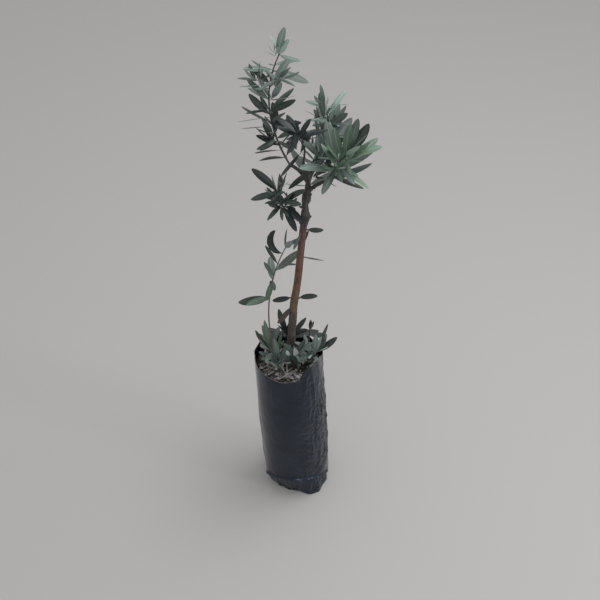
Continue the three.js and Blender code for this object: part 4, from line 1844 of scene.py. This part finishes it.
@dataclass
class Foliage:
    """All the masses: each one's twigs in one piece and its leaves in another.

    A Spray's numbers are its node, root, via and tip, its leaf pairs, leaf length, phase, seed, bare
    share, splay and end leaves, then its twigs, their pairs, span and aim, its finer twigs and their
    leaves. A LoneLeaf's are its share of the stem, direction, the way its face looks, length and curl.
    """

    mix: PottingMix
    crown: tuple[Spray, ...] = (
        Spray("foliage_left", (-11, 8, 771), (-42, 31, 860), (-25, 35, 951),
              10, 48, 55, 2841, 0.06, (54, 61), 3, 5, 2, (0.05, 0.85), 315, 6, 0.5,
              (Tint.SHADED, Tint.SHADED, Tint.DEEP, Tint.DEEP, Tint.GREY, Tint.GREY, Tint.PALE),
              lone=(
                  LoneLeaf(0.72, (-0.66, 0.2, 0.72), (0.3, -1, 0.4), 38, 8, Tint.DEEP, 0.9),
                  LoneLeaf(0.58, (-0.74, 0.2, 0.64), (0.3, -1, 0.4), 46, 10, Tint.GREY, 0.9),
                  LoneLeaf(0.44, (-0.76, 0.15, 0.62), (0.3, -1, 0.4), 46, 10, Tint.DEEP, 0.9),
                  LoneLeaf(0.98, (0.08, 0.25, 1), (0.1, -1, 0.3), 44, -12, Tint.PALE),
                  LoneLeaf(0.84, (0.95, 0.08, -0.22), (0, -0.4, 1), 58, 14, Tint.GREY),
                  LoneLeaf(0.85, (-0.99, 0.13, 0.12), (0, -0.3, 1), 46, 8, Tint.PALE),
                  LoneLeaf(0.72, (-0.98, 0.17, -0.14), (0.1, 0.5, 0.8), 47, 6, Tint.PALE),
                  LoneLeaf(0.47, (0.85, -0.09, 0.52), (-0.3, -0.7, 0.8), 45, 16, Tint.DEEP),
                  LoneLeaf(0.35, (0.96, -0.14, 0.23), (0, -0.6, 1), 46, 12, Tint.SHADED),
                  LoneLeaf(0.42, (-0.99, 0.08, -0.15), (0.1, 0.6, 0.8), 53, 5, Tint.PALE, 0.8),
                  LoneLeaf(0.34, (-0.99, 0.12, -0.11), (0, 0.5, 0.85), 50, 5, Tint.GREY, 0.8),
                  LoneLeaf(0.21, (-0.92, -0.34, -0.21), (0, -0.5, 1), 32, 12, Tint.SHADED),
              ),
              absent=((5, 0),)),
        Spray("foliage_right", (48, -40, 775), (59, -54, 811), (73, -60, 836),
              7, 68, 37, 2671, 0.05, (78, 18), 3, 2, 2, (0.05, 0.5), 322, 5, 0.5,
              (Tint.DEEP, Tint.GREY, Tint.FRESH, Tint.FRESH),
              lone=(
                  LoneLeaf(1.0, (0.63, 0.16, 0.76), (-0.4, -1, 0.5), 60, -8, Tint.DEEP),
                  LoneLeaf(1.0, (0.3, 0.19, 0.93), (-0.2, -1, 0.3), 62, -10, Tint.GREY),
                  LoneLeaf(1.0, (0.03, 0.12, 0.99), (0, -1, 0.2), 54, -10, Tint.FRESH),
                  LoneLeaf(0.81, (-0.3, 0.07, 0.95), (0.3, -1, 0.3), 57, -8, Tint.FRESH),
              ),
              absent=((0, 0), (1, 0))),
        Spray("foliage_right_top", (29, 18, 773), (52, 36, 806), (42, 41, 857),
              8, 56, 57, 2242, 0.1, (48, 70), 2, 2, 2, (0.3, 0.7), 288, 5, 0.5,
              (Tint.DEEP, Tint.DEEP, Tint.GREY, Tint.PALE), Wood.BROWN),
        Spray("foliage_centre", (10, -12, 790), (11, -24, 831), (-1, -39, 862),
              5, 56, 101, 2954, 0.05, (69, 43), 2, 1, 1, (0, 0.4), 19, 5, 0.5, (Tint.SHADED, Tint.SHADED),
              lone=(LoneLeaf(0.33, (-0.13, 0.2, 0.97), (0, -1, 0.2), 40, -8, Tint.SHADED),),
              absent=((0, 0), (0, 3), (0, 6), (4, 1))),
        Spray("foliage_low_left", (-16, -27, 708), (-26, -40, 734), (-30, -38, 755),
              6, 42, 41, 1165, 0, (100, 42), 2, 1, 1, (0, 0.3), 194, 8, 0.6,
              (Tint.SHADED, Tint.DEEP, Tint.DEEP),
              lone=(
                  LoneLeaf(1.0, (-0.7, 0.15, 0.7), (-0.3, -1, 0.4), 53, 10, Tint.SHADED),
                  LoneLeaf(0.95, (-0.97, -0.14, -0.2), (0, -0.5, 1), 44, 10, Tint.DEEP),
              )),
        Spray("foliage_back", (20, 30, 709), (29, 59, 725), (58, 90, 756),
              6, 56, 111, 2154, 0.1, (72, 20), 2, 1, 2, (0.2, 0.6), 32, 6, 0.5,
              (Tint.DEEP, Tint.GREY, Tint.GREY)),
        Spray("foliage_middle", (18, -2, 734), (27, -25, 790), (41, -48, 817),
              6, 56, 153, 879, 0.25, (82, 35), 2, 1, 1, (0.3, 0.6), 281, 6, 0.5,
              (Tint.SHADED, Tint.SHADED, Tint.DEEP),
              absent=((0, 6), (2, 0), (4, 1), (7, 0))),
    )
    low: tuple[Spray, ...] = (
        Spray("sucker_left", (-32, -19, 0), (-50, -10, 478), (-19, -1, 609),
              4, 52, 166, 1801, 0.59, (78, 48), 2,
              tints=(Tint.FRESH, Tint.FRESH, Tint.GREY, Tint.DEEP), wood=Wood.BROWN,
              lone=(
                  LoneLeaf(0.95, (-0.98, -0.1, 0.1), (0, -0.73, 0.68), 54, 12, Tint.SHADED, 0.85, 160),
                  LoneLeaf(0.8, (0.76, 0.45, 0.42), (0, -0.8, 0.7), 56, 10, Tint.GREY),
                  LoneLeaf(0.58, (-0.97, -0.1, -0.17), (0, -0.7, 0.75), 56, 8, Tint.DEEP, 1.1),
                  LoneLeaf(0.76, (-0.5, -0.1, 0.86), (-0.4, -1, 0.5), 36, 10, Tint.GREY),
                  LoneLeaf(0.72, (-0.3, -0.3, -0.9), (-0.6, -1, 0.4), 44, 18, Tint.FRESH),
              )),
        Spray("sucker_right", (18, 8, 0), (21, 6, 380), (23, 5, 408),
              1, 42, 24, 456, 0.7, (96, 34), 2, tints=(Tint.SHADED,)),
        Spray("foot_foliage_left", (-34, -4, 0), (-42, -3, 346), (-52, -7, 369),
              5, 56, 13, 2622, 0.2, (57, 39), 2, 1, 1, (0.1, 0.4), 259, 4, 0.8,
              (Tint.DEEP, Tint.FRESH, Tint.GREY), Wood.GREEN,
              (
                  LoneLeaf(1.0, (-0.65, 0.17, 0.74), (-0.6, -1, 0.3), 47, 14, Tint.DEEP),
                  LoneLeaf(1.0, (-0.09, 0.18, 0.98), (-0.3, -1, 0.2), 62, 10, Tint.FRESH, 0.6),
              )),
        Spray("foot_foliage_right", (12, -2, 0), (25, -8, 346), (36, -11, 368),
              4, 56, 27, 334, 0.2, (64, 15), 2, 1, 1, (0.2, 0.5), 258, 4, 0.8,
              (Tint.DEEP, Tint.GREY, Tint.GREY), Wood.GREEN,
              (
                  LoneLeaf(1.0, (-0.92, -0.19, -0.34), (-0.2, -0.4, 1), 42, 10, Tint.PALE),
                  LoneLeaf(1.0, (0.84, 0.15, 0.52), (0, -0.6, 1), 46, 16, Tint.SHADED),
                  LoneLeaf(1.0, (0.33, 0.19, 0.92), (0.4, -1, 0.3), 60, 12, Tint.DEEP, 0.45),
              )),
        Spray("foot_foliage_front", (-26, -25, 0), (-31, -35, 350), (-36, -44, 372),
              5, 46, 50, 7, 0.3, (80, 50), 2, fine=4, fine_leaf=0.8,
              tints=(Tint.GREY, Tint.GREY, Tint.DEEP), wood=Wood.GREEN,
              lone=(LoneLeaf(1.0, (-0.03, 0.19, 0.98), (-0.2, -1, 0.1), 50, 12, Tint.GREY),)),
        Spray("foot_foliage_middle", (0, -22, 0), (2, -30, 352), (-3, -36, 382),
              5, 46, 10, 3, 0.3, (80, 50), 2, fine=4, fine_leaf=0.8,
              tints=(Tint.DEEP, Tint.SHADED, Tint.GREY), wood=Wood.GREEN,
              lone=(LoneLeaf(1.0, (0.42, 0.16, 0.89), (0.3, -1, 0.3), 38, 14, Tint.DEEP),)),
        Spray("foot_foliage_back", (-12, 24, 0), (-15, 38, 350), (-14, 36, 367),
              5, 55, 13, 1293, 0.2, (78, 51), 2, fine=4, fine_leaf=0.8,
              tints=(Tint.DEEP, Tint.SHADED), wood=Wood.GREEN),
    )
    side_shoots: tuple[SideShoot, ...] = (
        SideShoot(493, 184, -0.1,
                  LoneLeaf(0.4, (-0.98, -0.16, -0.1), (0, -0.8, 1), 34, 12, Tint.SHADED, 1.1)),
        SideShoot(490, 8, 0.1, LoneLeaf(0.4, (0.98, 0.05, 0.18), (0, -0.8, 1), 34, 12, Tint.SHADED, 1.1)),
        SideShoot(474, 212, -0.45,
                  LoneLeaf(0.3, (-0.6, -0.6, -0.48), (-0.5, -0.6, 0.9), 38, 12, Tint.DRY, 1.1)),
        SideShoot(585, -4, 0, LoneLeaf(0.4, (0.99, -0.1, 0), (0, 0.3, 0.9), 36, 6, Tint.SHADED)),
        SideShoot(606, 62, 0.5,
                  LoneLeaf(0.4, (0.42, 0.5, 0.75), (0.6, -1, 0.4), 27, -14, Tint.SHADED, 0.9)),
        SideShoot(648, -12, -0.1,
                  LoneLeaf(0.4, (0.97, -0.2, 0.02), (0, -0.8, 0.9), 28, 10, Tint.DEEP, 1.25)),
        SideShoot(644, 236, -0.5, LoneLeaf(0.5, (-0.5, -0.74, -0.45), (-0.3, -0.3, 1), 30, 10, Tint.GREY)),
    )
    side_reach: float = 5.0
    seed: int = 9000  # added to a mass's, for the widths, bends and shades of its leaves
    buried: float = 4.0  # how far a stem starts back inside what it grows from
    twig_up: float = 0.06  # a twig's leaves have the tint of this much further up the stem
    mingle: float = 0.12  # and any leaf's tint may be from so far up or down
    reach: float = 3.0  # how far past its solid a finer twig's leaf may end
    open_from: float = 325.0  # the litter in front stays open below a slope: its height at y = 0
    open_slope: float = 0.93  # and how much higher it is for each millimetre towards the viewer
    overhang: float = 68.0  # how far from the bag's axis a leaf in front may reach
    front: float = 20.0  # y up to which that holds
    rim_room: float = 45.0  # how far above the bag both of these hold
    end_points: int = 4  # so many points of a leaf's strip, whose middle counts as its end
    twig_sides: int = 6
    check_steps: int = 4  # of the plain tube that finds out what a twig would touch
    twig_sharp: float = 60.0  # angles between faces past which an edge stays sharp
    leaf_sharp: float = 40.0
    form: LeafForm = field(default_factory=LeafForm)
    finish: LeafFinish = field(default_factory=LeafFinish)

    def on_mix(self, spray: Spray) -> Spray:
        """Roots a low shoot a little inside the mix.

        Args:
            spray: The shoot.

        Returns:
            The rooted shoot.
        """
        x, y, _ = spray.root
        away = math.hypot(x - self.mix.bag.lean_at(self.mix.level), y)
        level = self.mix.level - self.mix.sunk_at(away)
        return replace(spray, root=(x, y, level - TWIGS.root))

    def on_trunk(self, order: int, shoot: SideShoot, stations: tuple[tuple[float, ...], ...]) -> Spray:
        """Turns a side shoot into a mass of one leaf, which starts inside the trunk.

        Args:
            order: Its number.
            shoot: The side shoot.
            stations: Height, place and radius of the trunk's stations.

        Returns:
            The mass.
        """
        above = next(i for i, station in enumerate(stations) if station[0] >= shoot.height)
        low, high = stations[above - 1], stations[above]
        share = (shoot.height - low[0]) / (high[0] - low[0])
        x, y, radius = (between(a, b, share) for a, b in zip(low[1:], high[1:]))
        axis, turn = Vector((x, y, shoot.height)), math.radians(shoot.turn)
        heading = Vector((math.cos(turn), math.sin(turn), shoot.rise)).normalized()
        root, tip = axis + heading * radius / 2, axis + heading * (radius + self.side_reach)
        line = (tuple(root), tuple(root.lerp(tip, 0.5)), tuple(tip))
        rule = {"pairs": 0, "leaf": shoot.leaf.length, "phase": 0, "seed": order, "top": 0}
        return Spray(f"trunk_shoot_{order}", *line, **rule, wood=Wood.BROWN, lone=(shoot.leaf,))

    def hangs_low(self, strip: list[Vector]) -> bool:
        """Tells whether a leaf at the foot would lie over the litter in front or far over the rim.

        Args:
            strip: The points of a plain strip in its place.

        Returns:
            True if it would.
        """
        end = sum(strip[-self.end_points :], Vector()) / self.end_points
        if end.z > self.mix.bag.height + self.rim_room:
            return False
        over_litter = end.y < 0 and end.z < self.open_from - self.open_slope * end.y
        away = math.hypot(end.x - self.mix.bag.lean_at(end.z), end.y)
        return over_litter or (end.y < self.front and away > self.overhang)

    def past(self, node: str, strip: list[Vector]) -> bool:
        """Tells whether a leaf would end too far past the box of its mass's solid.

        Args:
            node: The mass.
            strip: The points of a plain strip in the leaf's place.

        Returns:
            True if it would.
        """
        low, high = (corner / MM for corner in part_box(node))
        spans = [(low[axis] - self.reach, high[axis] + self.reach) for axis in range(3)]
        return any(not least < x < most for point in strip for x, (least, most) in zip(point, spans))

    def twig(self, shoot: Grown, batch: Batch, slot: int, buried: float) -> None:
        """Adds a stem or twig, swollen a little where leaves leave it.

        Args:
            shoot: The grown shoot.
            batch: The twigs so far.
            slot: Its material.
            buried: How far it starts back inside what it grows from.
        """
        steps = max(3, round(shoot.arc.length() / FINE.step))
        knots = {round(leaf.along * steps) for leaf in shoot.leaves}
        line = shoot.arc.points(steps)
        radii = [
            between(shoot.root, shoot.tip, i / steps) * FINE.slim * (FINE.knot if i in knots else 1.0)
            for i in range(steps + 1)
        ]
        line.insert(0, line[0] - shoot.arc.heading(0) * buried)
        radii.insert(0, radii[0])
        batch.add(*tube(line, radii, self.twig_sides), [slot])

    def leaf(self, leaf: Leaf, tint: Tint, shade: int, draw: Draw, batch: Batch | None) -> None:
        """Draws a leaf's own shape and adds it.

        Args:
            leaf: The leaf.
            tint: Its kind.
            shade: The number of its shade.
            draw: The numbers that its shape follows.
            batch: The leaves so far, or None where the leaf is left out but takes its numbers.
        """
        points, faces = self.form.shape(leaf, draw)
        if batch is not None:
            batch.add(points, faces, self.form.slots(self.finish.slot(tint, shade)))

    def mass(self, spray: Spray, around: Surroundings, twigs: Batch, leaves: Batch) -> None:
        """Grows one mass.

        Args:
            spray: The mass.
            around: What its parts may not touch.
            twigs: Where its stem and twigs go.
            leaves: Where its leaves go.
        """
        shoots = grow(spray)
        draw = Draw(spray.seed + self.seed)
        for order, shoot in enumerate([*shoots, *grow_finer(spray, shoots)]):
            is_stem, is_fine = order == 0, order >= len(shoots)
            line = shoot.arc.points(self.check_steps)
            plain = tube(line, [shoot.root + GAP] * len(line), 3)
            if not is_stem and not around.free(spray.node, *plain):
                continue
            self.twig(shoot, twigs, list(Wood).index(spray.wood), self.buried if is_stem else 0.0)
            for number, leaf in enumerate(shoot.leaves):
                strip, faces = self.form.blade(leaf)
                past = is_fine and self.past(spray.node, strip)
                if past or self.hangs_low(strip) or not around.free(spray.node, strip, faces):
                    continue
                place = shoot.at + (leaf.along if is_stem else self.twig_up) + draw.wobble(self.mingle)
                tint = spray.tints[min(max(int(place * len(spray.tints)), 0), len(spray.tints) - 1)]
                shade = int(draw.share() * len(self.finish.shades))
                shown = (order, number) not in spray.absent
                self.leaf(leaf, tint, shade, draw, leaves if shown else None)
        for lone in spray.lone:
            base, direction = shoots[0].arc.point(lone.along), Vector(lone.direction).normalized()
            curl, sweep = math.radians(lone.curl), math.radians(lone.sweep)
            shape = (lone.length, curl, lone.along, lone.wide, sweep)
            self.leaf(leaf_facing(Vector(lone.up), base, direction, *shape), lone.tint, 0, draw, leaves)

    def build(self, stations: tuple[tuple[float, ...], ...]) -> list[Piece]:
        """Builds and dresses all the masses.

        Args:
            stations: The trunk's stations, which the side shoots stand on.

        Returns:
            Their pieces.
        """
        sides = [self.on_trunk(order, shoot, stations) for order, shoot in enumerate(self.side_shoots, 1)]
        masses = [*self.crown, *map(self.on_mix, self.low)]
        around = Surroundings([*masses, *sides])
        colours, skins = self.finish.materials(), [wood.material() for wood in Wood]
        pieces = []
        for name, members in [*((spray.node, [spray]) for spray in masses), ("trunk_shoots", sides)]:
            twigs, leaves = Batch(), Batch()
            for spray in members:
                self.mass(spray, around, twigs, leaves)
            wood = twigs.piece(f"{name}_twigs", skins, self.twig_sharp)
            blades = leaves.piece(f"{name}_leaves", colours, self.leaf_sharp)
            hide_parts(*(spray.node for spray in members))
            for piece in (wood, blades):
                pieces.append(piece)
        return pieces


@dataclass(frozen=True)
class Lamp:
    """A soft lamp that looks at the middle of the tree."""

    name: str
    at: Place
    size: Range  # width and height
    power: float  # in watts
    spread: float  # how wide its light fans out, in degrees
    aim: Place = (0, 0, 500)

    def build(self) -> None:
        """Adds the lamp."""
        data = bpy.data.lights.new(self.name, "AREA")
        data.energy = self.power
        data.shape = "RECTANGLE"
        data.size, data.size_y = (side * MM for side in self.size)
        data.spread = math.radians(self.spread)
        lamp = put_in_scene(self.name, data)
        lamp.location = Vector(self.at) * MM
        lamp.rotation_euler = (Vector(self.aim) * MM - lamp.location).to_track_quat("-Z", "Y").to_euler()


@dataclass
class Studio:
    """A pale floor, soft light and the camera that looks down at the tree."""

    floor_colour: str = "#b0adab"
    floor_size: float = 14000.0
    camera_at: Place = (5, -1290, 1690)
    pitch: float = 43.0
    sensor: float = 36.0
    lens: float = 60.0  # the photograph's 600 pixels are as wide as the sensor, 1000 as long as the lens
    sky: str = "#ebedef"
    sky_light: float = 0.8
    lamps: tuple[Lamp, ...] = (
        Lamp("key", (900, 300, 2600), (1600, 1600), 30, 180),
        Lamp("side", (2000, -850, 700), (300, 300), 2.15, 90),
        Lamp("front", (150, -1700, 900), (600, 100), 3.2, 180),
    )

    def build_floor(self) -> None:
        """Adds the pale plain floor, which isn't part of the object."""
        deselect_all()
        bpy.ops.mesh.primitive_plane_add(size=self.floor_size * MM)
        floor = bpy.context.object
        floor.name = "floor"
        finish = {"Base Color": linear(self.floor_colour), "Roughness": 0.85}
        floor.data.materials.append(start_material("pale plain floor", finish))

    def build_sky(self) -> None:
        """Lights everything evenly from all around."""
        world = bpy.data.worlds.new("sky")
        world.use_nodes = True
        light = {"Color": linear(self.sky), "Strength": self.sky_light}
        set_inputs(world.node_tree.nodes["Background"], light)
        bpy.context.scene.world = world

    def build_camera(self) -> None:
        """Sets up the camera at the photograph's viewing angle."""
        data = bpy.data.cameras.new("camera")
        data.sensor_width = self.sensor
        data.lens = self.lens
        camera = put_in_scene("camera", data)
        camera.location = Vector(self.camera_at) * MM
        camera.rotation_euler = (math.radians(90 - self.pitch), 0, 0)
        bpy.context.scene.camera = camera

    def build(self) -> None:
        """Sets up floor, sky, lamps and camera."""
        self.build_floor()
        self.build_sky()
        bpy.context.scene.view_settings.view_transform = "Standard"
        for lamp in self.lamps:
            lamp.build()
        self.build_camera()


def main() -> None:
    """Builds the classes in order and reports each piece."""
    logging.basicConfig(level=logging.INFO, format="%(message)s")
    bag = GrowBag()
    mix = PottingMix(bag)
    woody = WoodyParts()
    pieces = [bag.build(), mix.build(), *Litter(mix).build(), woody.build()]
    pieces.extend(Foliage(mix).build(woody.stations))
    for piece in pieces:
        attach(piece, "root")
        log.info("%s: %d faces", piece.name, len(piece.data.polygons))
    Studio().build()


if __name__ == "__main__":
    main()
